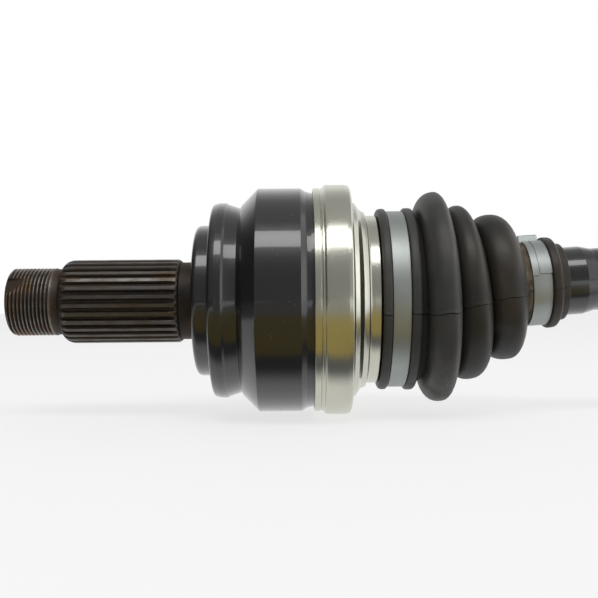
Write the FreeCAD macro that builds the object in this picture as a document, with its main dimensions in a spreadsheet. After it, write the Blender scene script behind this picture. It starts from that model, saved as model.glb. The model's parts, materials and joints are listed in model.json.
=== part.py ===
import FreeCAD, Part
import math
import os

import Sketcher

# Drive shaft: a splined stub and fixed ball joint, a bar, and a plunging ball joint with a bolted flange.
# The frame's origin is the centre of the hub shoulder face. The stub points along -X and +Z is up.
# Lengths are millimetres and angles are degrees.

Vector = FreeCAD.Vector
Rotation = FreeCAD.Rotation
Placement = FreeCAD.Placement

ALONG_X = Vector(1, 0, 0)
ALONG_Y = Vector(0, 1, 0)
SKETCH_NORMAL = Vector(0, 0, 1)

# A sketch numbers its axes from -1 down, and the points of an element by their place in this list.
SKETCH_AXES = (None, "x", "y")
ELEMENT_POINTS = ("edge", "start", "end", "centre")

DRIVING_SIZES = {
    # Stub, from its tip to the hub shoulder.
    "thread_radius": 13.5,
    "thread_length": 17.9,
    "tip_chamfer": 1.3,
    "centre_hole_radius": 3.6,
    "centre_hole_depth": 5.2,
    "relief_radius": 13.2,
    "relief_length": 2.8,
    "relief_slope": 0.6,
    "stub_lead_length": 5.3,
    "stub_lead_bend": 5.0,
    "stub_spline_radius": 16.65,
    "stub_spline_depth": 1.25,
    "stub_spline_teeth": 30,
    "stub_spline_length": 40.7,
    "stub_spline_run_out": 3.2,
    "stub_cutter_radius": 10.0,
    "gap_share_at_tip": 0.31,
    "gap_share_at_root": 0.15,
    "gap_overshoot": 0.6,
    "run_out_angle": 60.0,
    "lift_axis_half_length": 5.0,
    "neck_radius": 15.5,
    "neck_width": 6.2,
    "neck_slope": 1.6,
    "neck_fillet": 1.5,
    "stake_slot_width": 7.6,
    "stake_slot_length": 10.5,
    "stake_slot_depth": 2.7,
    "stake_slot_floor_share": 0.8,
    "stake_slot_angle": 63.0,
    # Outside of the joint's forging, from the hub shoulder to the open mouth.
    "shoulder_radius": 30.1,
    "shoulder_length": 6.8,
    "shoulder_round": 2.4,
    "ridge_radius": 39.0,
    "ridge_length": 6.4,
    "ridge_round": 2.0,
    "waist_radius": 37.2,
    "waist_reach": 16.7,
    "bell_radius": 44.6,
    "bell_start_reach": 24.7,
    "bell_end_reach": 40.9,
    "bell_end_slope": 4.4,
    "bell_end_bend": 6.4,
    "bell_round": 1.2,
    "crimp_groove_depth": 1.8,
    "crimp_groove_end_reach": 50.0,
    "groove_slope": 0.6,
    "mouth_reach": 59.1,
    "mouth_flare": 1.6,
    # Ball joints: both joints use the same balls, inner races and cages.
    "joint_depth": 18.6,
    "ball_radius": 8.73,
    "ball_count": 6,
    "pitch_radius": 30.0,
    "track_offset": 2.0,
    "track_clearance": 0.6,
    "track_sweep_angle": 150.0,
    "cage_outer_radius": 32.5,
    "cage_wall": 5.0,
    "cage_half_width": 17.0,
    "cage_clearance": 0.2,
    "window_clearance": 0.08,
    "window_half_length": 10.4,
    "inner_race_half_width": 12.0,
    "pocket_depth": 24.0,
    # Bar and its splined ends.
    "centre_distance": 440.0,
    "rest_angle": 3.5,
    "bar_radius": 12.5,
    "bar_spline_radius": 13.0,
    "bar_spline_depth": 1.1,
    "bar_spline_teeth": 24,
    "bar_cutter_radius": 9.0,
    "spline_clearance": 0.06,
    "race_gap_share_at_tip": 0.215,
    "race_gap_share_at_root": 0.375,
    "bar_end_reach": 15.2,
    "bar_end_chamfer": 0.9,
    "collar_radius": 14.4,
    "collar_length": 8.0,
    "collar_taper": 4.0,
    "seat_radius": 13.7,
    "seat_lead": 4.0,
    "seat_overrun": 7.6,
    "seat_taper": 5.0,
    "circlip_width": 1.6,
    "circlip_depth": 1.7,
    "circlip_height": 3.4,
    "circlip_clearance": 0.06,
    "circlip_turn": 325.0,
    # Sheet-metal can over the bell.
    "can_sheet": 1.1,
    "can_lip_length": 3.8,
    "can_lip_clearance": 0.6,
    "can_band_clearance": 0.1,
    "can_corner": 2.0,
    "can_face_width": 6.6,
    "can_throat_length": 6.0,
    "can_throat_bend": 14.0,
    "can_throat_mitre": 0.42,
    "neck_cover_rise": 1.6,
    "neck_cover_length": 4.3,
    "boot_seat_radius": 31.9,
    "boot_seat_step": 0.5,
    "boot_seat_overrun": 2.0,
    "seal_thickness": 0.5,
    "seal_width": 4.1,
    # Boots: reaches count from the edge of the large end, and rises from the seat under it.
    "inboard_boot_reach": 36.5,
    "boot_wall": 2.2,
    "boot_seat_clearance": 0.3,
    "boot_bevel": 0.6,
    "large_rib_rise": 4.3,
    "large_rib_width": 3.3,
    "large_groove_rise": 2.45,
    "large_groove_width": 7.0,
    "large_inner_rib_width": 4.0,
    "small_neck_reach": 59.3,
    "small_groove_rise": 2.4,
    "small_groove_width": 7.8,
    "small_rib_rise": 4.4,
    "small_rib_width": 4.2,
    "small_lip_rise": 1.7,
    "small_lip_width": 3.0,
    "fold_ring_count": 6,
    "fold_one_rise": 9.6,
    "fold_one_reach": 24.0,
    "fold_two_rise": 2.9,
    "fold_two_reach": 34.9,
    "fold_three_rise": -2.6,
    "fold_three_reach": 48.8,
    "valley_zero_rise": 2.6,
    "valley_zero_reach": 16.2,
    "valley_one_rise": -0.9,
    "valley_one_reach": 30.2,
    "valley_two_rise": -6.3,
    "valley_two_reach": 42.2,
    "throat_rise": 3.5,
    "throat_length": 1.2,
    "fold_fan": 0.85,
    # Clamps.
    "clamp_band": 0.8,
    "clamp_clearance": 0.05,
    "clamp_side_clearance": 0.15,
    "ear_height": 2.9,
    "ear_width": 6.4,
    "ear_crown_share": 0.8,
    "small_ear_angle": -24.0,
    "large_ear_angle": -120.0,
    # Inboard joint.
    "flange_radius": 54.0,
    "flange_half_width": 19.0,
    "flange_chamfer": 1.0,
    "bolt_circle_radius": 47.0,
    "bolt_hole_radius": 5.25,
    "bolt_count": 6,
    "gasket_thickness": 0.5,
    "gasket_inner_radius": 40.0,
    "cover_sheet": 1.2,
    "cover_bend": 2.0,
    "cap_dome_radius": 38.4,
    "cap_wall_length": 9.0,
    "cap_dome_height": 5.5,
    "adapter_drum_radius": 38.0,
    "adapter_drum_length": 7.5,
    "adapter_cone_length": 7.0,
    # How far a cut starts outside the solid that it cuts.
    "overshoot": 1.0,
}


class Size:
    """A size with its value and the formula over the sheet's cells that gives it."""

    def __init__(self, value, formula):
        self.value = value
        self.formula = formula

    def __add__(self, other):
        return joined(self, "+", other)

    def __radd__(self, other):
        return joined(other, "+", self)

    def __sub__(self, other):
        return joined(self, "-", other)

    def __rsub__(self, other):
        return joined(other, "-", self)

    def __mul__(self, other):
        return joined(self, "*", other)

    def __rmul__(self, other):
        return joined(other, "*", self)

    def __truediv__(self, other):
        return joined(self, "/", other)

    def __rtruediv__(self, other):
        return joined(other, "/", self)

    def __neg__(self):
        return joined(0, "-", self)


def as_size(number):
    """A plain number as a size."""
    if isinstance(number, Size):
        return number
    return Size(float(number), f"{number}")


def joined(left, sign, right):
    """The size that two sizes and an arithmetic sign make."""
    left = as_size(left)
    right = as_size(right)
    results = {
        "+": lambda: left.value + right.value,
        "-": lambda: left.value - right.value,
        "*": lambda: left.value * right.value,
        "/": lambda: left.value / right.value,
    }
    return Size(results[sign](), f"({left.formula} {sign} {right.formula})")


def height_on_ball(radius, along):
    """How far from the axis a ball's surface lies, at a distance along the axis from its centre."""
    squares = radius * radius - along * along
    return Size(math.sqrt(squares.value), f"sqrt({squares.formula})")


def circle_share(radius, share_of_turn):
    """Half the width that an angle spans at a radius: the angle is a share of a full turn."""
    degrees = 360 * share_of_turn
    sine = math.sin(math.radians(degrees.value))
    return Size(radius.value * sine, f"({radius.formula} * sin({degrees.formula} * 1deg))")


def fill_sheet(document):
    """The sheet of driving sizes, and each size by its name."""
    sheet = document.addObject("Spreadsheet::Sheet", "Sizes")
    sizes = {}
    for row, (name, value) in enumerate(DRIVING_SIZES.items(), start=1):
        sheet.set(f"A{row}", name.replace("_", " "))
        sheet.set(f"B{row}", str(value))
        sheet.setAlias(f"B{row}", name)
        sizes[name] = Size(float(value), f"Sizes.{name}")
    document.recompute()
    return sizes


def add_following_sizes(sizes):
    """Sizes that follow from the driving ones: the pieces that fit on each other keep together."""
    sizes["neck_reach"] = sizes["neck_width"] + sizes["neck_slope"]
    sizes["stub_spline_start_reach"] = sizes["neck_reach"] + sizes["stub_spline_length"]
    sizes["relief_end_reach"] = sizes["stub_spline_start_reach"] + sizes["stub_lead_length"]
    sizes["thread_end_reach"] = sizes["relief_end_reach"] + sizes["relief_length"]
    sizes["tip_reach"] = sizes["thread_end_reach"] + sizes["thread_length"]
    sizes["joint_reach"] = sizes["mouth_reach"] - sizes["joint_depth"]
    sizes["crimp_groove_radius"] = sizes["bell_radius"] - sizes["crimp_groove_depth"]
    sizes["cage_inner_radius"] = sizes["cage_outer_radius"] - sizes["cage_wall"]
    sizes["can_lip_radius"] = sizes["crimp_groove_radius"] + sizes["can_lip_clearance"] + sizes["can_sheet"]
    sizes["can_band_radius"] = sizes["bell_radius"] + sizes["can_band_clearance"] + sizes["can_sheet"]
    sizes["can_face_reach"] = sizes["mouth_reach"] + sizes["seal_thickness"] + sizes["can_sheet"]
    sizes["neck_cover_radius"] = sizes["boot_seat_radius"] + sizes["neck_cover_rise"]
    sizes["boot_seat_reach"] = (sizes["can_face_reach"] + sizes["can_throat_length"]
                                + sizes["neck_cover_length"] + sizes["boot_seat_step"])
    sizes["outboard_boot_reach"] = sizes["boot_seat_reach"] - sizes["joint_reach"]
    for name in ("large_rib", "large_groove", "fold_one", "fold_two", "fold_three",
                 "valley_zero", "valley_one", "valley_two"):
        sizes[name + "_radius"] = sizes["boot_seat_radius"] + sizes[name + "_rise"]
    for name in ("small_groove", "small_rib", "small_lip", "throat"):
        sizes[name + "_radius"] = sizes["seat_radius"] + sizes[name + "_rise"]


document = FreeCAD.newDocument("drive_shaft")
sizes = fill_sheet(document)
add_following_sizes(sizes)

LIFTED = Rotation(ALONG_Y, -sizes["rest_angle"].value)
HALF_LIFTED = Rotation(ALONG_Y, -sizes["rest_angle"].value / 2)
OUTBOARD_CENTRE = Vector(sizes["joint_reach"].value, 0, 0)
ON_STUB = Placement()
ON_BAR = Placement(OUTBOARD_CENTRE, LIFTED)
ON_HALF_ANGLE = Placement(OUTBOARD_CENTRE, HALF_LIFTED)
ON_INBOARD_JOINT = ON_BAR * Placement(Vector(sizes["centre_distance"].value, 0, 0), Rotation())

sub_parts = []


def new_body(name, placement):
    """An empty body that becomes one sub-part."""
    body = document.addObject("PartDesign::Body", name)
    body.Label = name
    body.Placement = placement
    sub_parts.append(body)
    return body


def origin_feature(body, role):
    """One of a body's own origin planes or axes."""
    for feature in body.Origin.OriginFeatures:
        if feature.Role == role:
            return feature
    raise ValueError(role)


def new_sketch(body, name, plane, offset=None):
    """A sketch on one of the body's origin planes."""
    sketch = body.newObject("Sketcher::SketchObject", name)
    sketch.AttachmentSupport = [(origin_feature(body, plane), "")]
    sketch.MapMode = "FlatFace"
    if offset is not None:
        sketch.AttachmentOffset = offset
    return sketch


def bind(sketch, constraint, size):
    """Ties a sketch constraint to the sheet."""
    sketch.setExpression(f"Constraints[{constraint}]", size.formula)


def put_on_axis(sketch, element, point, axis):
    """Puts a point of an element on one of the sketch's axes."""
    sketch.addConstraint(Sketcher.Constraint(
        "PointOnObject", element, ELEMENT_POINTS.index(point), -SKETCH_AXES.index(axis)))


def place_point(sketch, element, point, across, up):
    """Fixes a point of an element at its two distances from the sketch's origin."""
    origin = (-SKETCH_AXES.index("x"), ELEMENT_POINTS.index("start"))
    number = ELEMENT_POINTS.index(point)
    for kind, distance, axis in (("DistanceY", up, "x"), ("DistanceX", across, "y")):
        if distance.value == 0:
            put_on_axis(sketch, element, point, axis)
        else:
            index = sketch.addConstraint(
                Sketcher.Constraint(kind, *origin, element, number, distance.value))
            bind(sketch, index, distance)


def arc_centre(start, finish, bend):
    """The centre of an arc between two points: on the axis for "ball", else at a radius to one side."""
    x_start, y_start = start
    x_finish, y_finish = finish
    if bend == "ball":
        span = 2 * (x_finish - x_start)
        centre = (x_finish ** 2 + y_finish ** 2 - x_start ** 2 - y_start ** 2) / span
        return centre, 0.0
    half_chord = math.hypot(x_finish - x_start, y_finish - y_start) / 2
    rise = math.sqrt(bend.value ** 2 - half_chord ** 2)
    side = math.copysign(1, bend.value)
    x_normal = -(y_finish - y_start) / (2 * half_chord)
    y_normal = (x_finish - x_start) / (2 * half_chord)
    x_centre = (x_start + x_finish) / 2 + side * rise * x_normal
    y_centre = (y_start + y_finish) / 2 + side * rise * y_normal
    return x_centre, y_centre


def add_arc(sketch, start, finish, bend):
    """An arc between two points. Returns its number and which of its points lie at start and finish."""
    x_centre, y_centre = arc_centre(start, finish, bend)
    radius = math.hypot(start[0] - x_centre, start[1] - y_centre)
    circle = Part.Circle(Vector(x_centre, y_centre, 0), Vector(0, 0, 1), radius)
    start_angle = math.atan2(start[1] - y_centre, start[0] - x_centre)
    finish_angle = math.atan2(finish[1] - y_centre, finish[0] - x_centre)
    ends = ("start", "end")
    if (finish_angle - start_angle) % (2 * math.pi) > math.pi:
        start_angle, finish_angle = finish_angle, start_angle
        ends = ("end", "start")
    element = sketch.addGeometry(Part.ArcOfCircle(circle, start_angle, finish_angle), False)
    if bend == "ball":
        put_on_axis(sketch, element, "centre", "x")
    else:
        index = sketch.addConstraint(Sketcher.Constraint("Radius", element, radius))
        bind(sketch, index, bend if bend.value > 0 else -bend)
    return element, *ends


def draw_outline(sketch, corners):
    """A closed outline. A corner is (across, up) or (across, up, bend of the arc that leads to it)."""
    corners = [tuple(as_size(size) if size != "ball" else size for size in corner) for corner in corners]
    pieces = []
    for index, corner in enumerate(corners):
        before = corners[index - 1]
        start = (before[0].value, before[1].value)
        finish = (corner[0].value, corner[1].value)
        if len(corner) == 3:
            pieces.append(add_arc(sketch, start, finish, corner[2]))
        else:
            line = Part.LineSegment(Vector(*start, 0), Vector(*finish, 0))
            pieces.append((sketch.addGeometry(line, False), "start", "end"))
    for index, (element, _, finish_point) in enumerate(pieces):
        following, following_point, _ = pieces[(index + 1) % len(pieces)]
        sketch.addConstraint(Sketcher.Constraint(
            "Coincident", element, ELEMENT_POINTS.index(finish_point),
            following, ELEMENT_POINTS.index(following_point)))
        place_point(sketch, element, finish_point, corners[index][0], corners[index][1])


def turned(body, corners, turn=None):
    """A solid of revolution about the body's X axis."""
    sketch = new_sketch(body, body.Name + "_outline", "XZ_Plane")
    draw_outline(sketch, corners)
    feature = body.newObject("PartDesign::Revolution", body.Name + "_turned")
    feature.Profile = sketch
    feature.ReferenceAxis = (sketch, ["H_Axis"])
    feature.Angle = 360
    if turn is not None:
        feature.setExpression("Angle", turn.formula)
    document.recompute()
    return feature


def round_edges(body, places, radius):
    """Rounds the circular edges at (along the axis, radius)."""
    base = body.Tip
    names = []
    for number, edge in enumerate(base.Shape.Edges, start=1):
        if not isinstance(edge.Curve, Part.Circle):
            continue
        centre = base.Shape.Placement.inverse().multVec(edge.Curve.Center)
        for along, edge_radius in places:
            near = abs(centre.x - as_size(along).value) < 1e-4
            if near and abs(edge.Curve.Radius - edge_radius.value) < 1e-4:
                names.append(f"Edge{number}")
    fillet = body.newObject("PartDesign::Fillet", body.Name + "_round")
    fillet.Base = (base, names)
    fillet.setExpression("Radius", radius.formula)
    document.recompute()
    return fillet


def repeat_round(body, originals, count):
    """Repeats features round the body's X axis."""
    pattern = body.newObject("PartDesign::PolarPattern", originals[0].Name + "_pattern")
    pattern.Originals = originals
    pattern.Axis = (origin_feature(body, "X_Axis"), [""])
    pattern.Angle = 360
    pattern.setExpression("Occurrences", count.formula)
    body.Tip = pattern
    document.recompute()
    return pattern


def offset_sketch(body, name, along, turn=0):
    """A sketch square to the X axis at a distance along it, with Y across and Z up before its turn."""
    sketch = new_sketch(body, name, "YZ_Plane", Placement(Vector(), Rotation(SKETCH_NORMAL, turn)))
    sketch.setExpression("AttachmentOffset.Base.z", as_size(along).formula)
    return sketch


def cut_curved_tracks(body, offset):
    """Ball tracks that run along arcs about a point off the joint's centre."""
    pitch = height_on_pitch(sizes["pitch_radius"], sizes["track_offset"])
    sketch = offset_sketch(body, body.Name + "_track_section", offset)
    draw_circle(sketch, 0, pitch, sizes["ball_radius"] + sizes["track_clearance"])
    track = body.newObject("PartDesign::Groove", body.Name + "_track")
    track.Profile = sketch
    track.ReferenceAxis = (sketch, ["H_Axis"])
    track.setExpression("Angle", sizes["track_sweep_angle"].formula)
    track.Midplane = True
    document.recompute()
    return repeat_round(body, [track], sizes["ball_count"])


def cut_straight_tracks(body, half_length):
    """Ball tracks parallel to the axis."""
    sketch = offset_sketch(body, body.Name + "_track_section", 0)
    draw_circle(sketch, 0, sizes["pitch_radius"], sizes["ball_radius"] + sizes["track_clearance"])
    track = body.newObject("PartDesign::Pocket", body.Name + "_track")
    track.Profile = sketch
    track.Midplane = True
    track.setExpression("Length", ((half_length + sizes["overshoot"]) * 2).formula)
    document.recompute()
    return repeat_round(body, [track], sizes["ball_count"])


def height_on_pitch(pitch_radius, offset):
    """The radius of a track's arc, from the track's own centre to a ball at rest."""
    squares = pitch_radius * pitch_radius + offset * offset
    return Size(math.sqrt(squares.value), f"sqrt({squares.formula})")


def draw_circle(sketch, across, up, radius):
    """A circle at its two distances from the sketch's origin."""
    across = as_size(across)
    centre = Vector(across.value, up.value, 0)
    element = sketch.addGeometry(Part.Circle(centre, Vector(0, 0, 1), radius.value), False)
    index = sketch.addConstraint(Sketcher.Constraint("Radius", element, radius.value))
    bind(sketch, index, radius)
    place_point(sketch, element, "centre", across, up)


def tooth_gap(sketch, tip_radius, root_radius, teeth, share_at_tip, share_at_root, beyond):
    """A spline tooth's gap: straight sides from the root circle, through the tip circle and beyond it."""
    at_root = circle_share(root_radius, share_at_root / teeth)
    at_tip = circle_share(tip_radius, share_at_tip / teeth)
    flare = (at_tip - at_root) / (tip_radius - root_radius)
    outer_radius = tip_radius + beyond
    at_outer = at_tip + flare * beyond
    draw_outline(sketch, [(-at_root, root_radius), (at_root, root_radius),
                          (at_outer, outer_radius), (-at_outer, outer_radius)])


def cut_outer_spline(body, name, tip_radius, depth, teeth, start, finish, cutter_radius):
    """Spline teeth on a shaft: each gap runs straight and then lifts out along the cutter's arc."""
    root_radius = tip_radius - depth
    direction = 1 if finish.value > start.value else -1
    sketch = offset_sketch(body, name + "_gap_section", finish)
    tooth_gap(sketch, tip_radius, root_radius, teeth, sizes["gap_share_at_tip"],
              sizes["gap_share_at_root"], sizes["gap_overshoot"])
    half_length = sizes["lift_axis_half_length"]
    height = root_radius + cutter_radius
    lift_axis = sketch.addGeometry(Part.LineSegment(
        Vector(-half_length.value, height.value, 0), Vector(half_length.value, height.value, 0)), True)
    place_point(sketch, lift_axis, "start", -half_length, height)
    place_point(sketch, lift_axis, "end", half_length, height)
    gap = body.newObject("PartDesign::Pocket", name + "_gap")
    gap.Profile = sketch
    gap.Reversed = direction < 0
    length = (finish - start) if direction > 0 else (start - finish)
    gap.setExpression("Length", length.formula)
    document.recompute()
    run_out = body.newObject("PartDesign::Groove", name + "_run_out")
    run_out.Profile = sketch
    run_out.ReferenceAxis = (sketch, ["Axis0"])
    run_out.setExpression("Angle", sizes["run_out_angle"].formula)
    run_out.Reversed = direction > 0
    document.recompute()
    return repeat_round(body, [gap, run_out], teeth)


def cut_inner_spline(body, name, half_length):
    """Spline teeth in a race's bore, to take the bar's teeth with a small clearance."""
    clearance = sizes["spline_clearance"]
    tip_radius = sizes["bar_spline_radius"] + clearance
    minor_radius = sizes["bar_spline_radius"] - sizes["bar_spline_depth"] - clearance
    half_pitch = 180 / sizes["bar_spline_teeth"].value
    sketch = offset_sketch(body, name + "_gap_section", 0, half_pitch)
    tooth_gap(sketch, tip_radius, minor_radius, sizes["bar_spline_teeth"],
              sizes["race_gap_share_at_tip"], sizes["race_gap_share_at_root"], as_size(0))
    gap = body.newObject("PartDesign::Pocket", name + "_gap")
    gap.Profile = sketch
    gap.Midplane = True
    gap.setExpression("Length", ((half_length + sizes["overshoot"]) * 2).formula)
    document.recompute()
    return repeat_round(body, [gap], sizes["bar_spline_teeth"])


def finish_checks():
    """Stops if any object failed or any sub-part's shape is empty or broken."""
    document.recompute()
    for thing in document.Objects:
        if "Invalid" in thing.State or "Error" in thing.State:
            raise RuntimeError(f"{thing.Label} failed: {thing.State}")
    for sub_part in sub_parts:
        if sub_part.Shape.isNull() or not sub_part.Shape.isValid():
            raise RuntimeError(f"{sub_part.Label} has no valid shape")


def write_parts():
    """Writes each sub-part's shape to its own file."""
    os.makedirs("parts", exist_ok=True)
    for sub_part in sub_parts:
        sub_part.Shape.exportStep(f"parts/{sub_part.Label}.step")
        print(f"{sub_part.Label}: {len(sub_part.Shape.Solids)} solid, {sub_part.Shape.Volume:.0f} mm3")


def outboard_outer_race():
    """The stub and the bell of the outboard joint, one forging."""
    body = new_body("outboard_outer_race", ON_STUB)
    tip = -sizes["tip_reach"]
    thread_end = -sizes["thread_end_reach"]
    relief_end = -sizes["relief_end_reach"]
    spline_start = -sizes["stub_spline_start_reach"]
    groove_start = sizes["bell_end_reach"] + sizes["bell_end_slope"]
    ridge_end = sizes["shoulder_length"] + sizes["ridge_length"]
    ball_centre = sizes["joint_reach"]
    bore_radius = sizes["cage_outer_radius"] + sizes["cage_clearance"]
    bore_reach = sizes["mouth_reach"] - ball_centre - sizes["mouth_flare"]
    throat_radius = height_on_ball(bore_radius, bore_reach)
    pocket_radius = height_on_ball(bore_radius, sizes["pocket_depth"])
    turned(body, [
        (tip + sizes["centre_hole_depth"], 0),
        (tip, sizes["centre_hole_radius"]),
        (tip, sizes["thread_radius"] - sizes["tip_chamfer"]),
        (tip + sizes["tip_chamfer"], sizes["thread_radius"]),
        (thread_end, sizes["thread_radius"]),
        (thread_end + sizes["relief_slope"], sizes["relief_radius"]),
        (relief_end, sizes["relief_radius"]),
        (spline_start, sizes["stub_spline_radius"], -sizes["stub_lead_bend"]),
        (-sizes["neck_reach"], sizes["stub_spline_radius"]),
        (-sizes["neck_width"], sizes["neck_radius"]),
        (0, sizes["neck_radius"]),
        (0, sizes["shoulder_radius"]),
        (sizes["shoulder_length"], sizes["shoulder_radius"]),
        (sizes["shoulder_length"], sizes["ridge_radius"]),
        (ridge_end, sizes["ridge_radius"]),
        (sizes["waist_reach"], sizes["waist_radius"]),
        (sizes["bell_start_reach"], sizes["bell_radius"]),
        (sizes["bell_end_reach"], sizes["bell_radius"]),
        (groove_start, sizes["crimp_groove_radius"], sizes["bell_end_bend"]),
        (sizes["crimp_groove_end_reach"], sizes["crimp_groove_radius"]),
        (sizes["crimp_groove_end_reach"] + sizes["groove_slope"], sizes["bell_radius"]),
        (sizes["mouth_reach"], sizes["bell_radius"]),
        (sizes["mouth_reach"], throat_radius + sizes["mouth_flare"]),
        (sizes["mouth_reach"] - sizes["mouth_flare"], throat_radius),
        (ball_centre - sizes["pocket_depth"], pocket_radius, "ball"),
        (ball_centre - sizes["pocket_depth"], 0),
    ])
    round_edges(body, [(0, sizes["neck_radius"])], sizes["neck_fillet"])
    round_edges(body, [(0, sizes["shoulder_radius"])], sizes["shoulder_round"])
    round_edges(body, [(sizes["shoulder_length"], sizes["ridge_radius"]),
                       (ridge_end, sizes["ridge_radius"])], sizes["ridge_round"])
    round_edges(body, [(sizes["bell_start_reach"], sizes["bell_radius"])], sizes["bell_round"])
    cut_outer_spline(body, "stub_spline", sizes["stub_spline_radius"], sizes["stub_spline_depth"],
                     sizes["stub_spline_teeth"], relief_end - sizes["overshoot"],
                     -sizes["neck_reach"] - sizes["stub_spline_run_out"], sizes["stub_cutter_radius"])
    cut_curved_tracks(body, ball_centre + sizes["track_offset"])
    cut_stake_slot(body, tip)
    return body


def cut_stake_slot(body, tip):
    """The slot at the stub's tip that the nut's collar is staked into. It runs out along the thread."""
    turn = Placement(Vector(), Rotation(ALONG_X, sizes["stake_slot_angle"].value))
    sketch = new_sketch(body, "stake_slot_side", "XZ_Plane", turn)
    outer = sizes["thread_radius"] + sizes["overshoot"]
    before_tip = tip - sizes["overshoot"]
    mid_depth = sizes["stake_slot_depth"] * sizes["stake_slot_floor_share"]
    draw_outline(sketch, [
        (before_tip, outer),
        (before_tip, sizes["thread_radius"] - sizes["stake_slot_depth"]),
        (tip + sizes["stake_slot_length"] / 2, sizes["thread_radius"] - mid_depth),
        (tip + sizes["stake_slot_length"], outer),
    ])
    slot = body.newObject("PartDesign::Pocket", "stake_slot")
    slot.Profile = sketch
    slot.Midplane = True
    slot.setExpression("Length", sizes["stake_slot_width"].formula)
    document.recompute()


def inner_race(name, placement, curved):
    """A star-shaped inner race: a ball zone with a track for each ball and a splined bore."""
    body = new_body(name, placement)
    half_width = sizes["inner_race_half_width"]
    ball_zone = sizes["cage_inner_radius"] - sizes["cage_clearance"]
    edge_radius = height_on_ball(ball_zone, half_width)
    bore = sizes["bar_spline_radius"] - sizes["bar_spline_depth"] + sizes["spline_clearance"]
    turned(body, [
        (-half_width, bore),
        (-half_width, edge_radius),
        (half_width, edge_radius, "ball"),
        (half_width, bore),
    ])
    if curved:
        cut_curved_tracks(body, -sizes["track_offset"])
    else:
        cut_straight_tracks(body, half_width)
    cut_inner_spline(body, name, half_width)
    return body


def ball_cage(name, placement):
    """A cage between two ball surfaces, with a window for each ball."""
    body = new_body(name, placement)
    half_width = sizes["cage_half_width"]
    outer = height_on_ball(sizes["cage_outer_radius"], half_width)
    inner = height_on_ball(sizes["cage_inner_radius"], half_width)
    turned(body, [
        (-half_width, inner, "ball"),
        (-half_width, outer),
        (half_width, outer, "ball"),
        (half_width, inner),
    ])
    half_window = sizes["ball_radius"] + sizes["window_clearance"]
    half_length = sizes["window_half_length"]
    sketch = new_sketch(body, name + "_window_outline", "XY_Plane")
    draw_outline(sketch, [(-half_window, -half_length), (half_window, -half_length),
                          (half_window, half_length), (-half_window, half_length)])
    window = body.newObject("PartDesign::Pocket", name + "_window")
    window.Profile = sketch
    window.Reversed = True
    window.setExpression("Length", (sizes["cage_outer_radius"] + sizes["overshoot"]).formula)
    document.recompute()
    repeat_round(body, [window], sizes["ball_count"])
    return body


def joint_balls(prefix, placement):
    """The balls of one joint, spaced evenly from the top, each a sub-part of its own."""
    count = int(sizes["ball_count"].value)
    for index in range(count):
        ball = document.addObject("Part::Sphere", f"{prefix}_ball_{index + 1}")
        ball.Label = ball.Name
        ball.setExpression("Radius", sizes["ball_radius"].formula)
        turn = Rotation(ALONG_X, 360 / count * index)
        centre = turn.multVec(Vector(0, 0, sizes["pitch_radius"].value))
        ball.Placement = placement * Placement(centre, Rotation())
        sub_parts.append(ball)


def circlip(name, placement, near, side):
    """A spring ring of square section with a gap, in the bar's groove beside the inner race."""
    body = new_body(name, placement)
    inner = sizes["bar_spline_radius"] - sizes["circlip_depth"] + sizes["circlip_clearance"]
    outer = inner + sizes["circlip_height"]
    near = side * near
    far = near + side * sizes["circlip_width"]
    low, high = (near, far) if side > 0 else (far, near)
    turned(body, [(low, inner), (low, outer), (high, outer), (high, inner)], sizes["circlip_turn"])
    return body


def bar_end_corners(side):
    """One splined end of the bar, from its end face to the collar's foot, about the joint's centre."""
    race = sizes["inner_race_half_width"]
    groove_near = race + sizes["circlip_clearance"] / 2
    groove_far = groove_near + sizes["circlip_width"] + sizes["circlip_clearance"]
    groove_floor = sizes["bar_spline_radius"] - sizes["circlip_depth"]
    collar = race + sizes["circlip_clearance"]
    collar_end = collar + sizes["collar_length"]
    corners = [
        (side * sizes["bar_end_reach"], 0),
        (side * sizes["bar_end_reach"], sizes["bar_spline_radius"] - sizes["bar_end_chamfer"]),
        (side * (sizes["bar_end_reach"] - sizes["bar_end_chamfer"]), sizes["bar_spline_radius"]),
        (side * groove_far, sizes["bar_spline_radius"]),
        (side * groove_far, groove_floor),
        (side * groove_near, groove_floor),
        (side * groove_near, sizes["bar_spline_radius"]),
        (-side * collar, sizes["bar_spline_radius"]),
        (-side * (collar + sizes["collar_radius"] - sizes["bar_spline_radius"]), sizes["collar_radius"]),
        (-side * collar_end, sizes["collar_radius"]),
        (-side * (collar_end + sizes["collar_taper"]), sizes["bar_radius"]),
    ]
    return corners


def boot_seat_corners(boot_reach):
    """The raised seat under a boot's small end, from the joint's centre outwards."""
    start = boot_reach + sizes["small_neck_reach"]
    end = (start + sizes["small_groove_width"] + sizes["small_rib_width"]
           + sizes["small_lip_width"] + sizes["seat_overrun"])
    return [
        (start - sizes["seat_lead"] * 2, sizes["bar_radius"]),
        (start - sizes["seat_lead"], sizes["seat_radius"]),
        (end, sizes["seat_radius"]),
        (end + sizes["seat_taper"], sizes["bar_radius"]),
    ]


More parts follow.
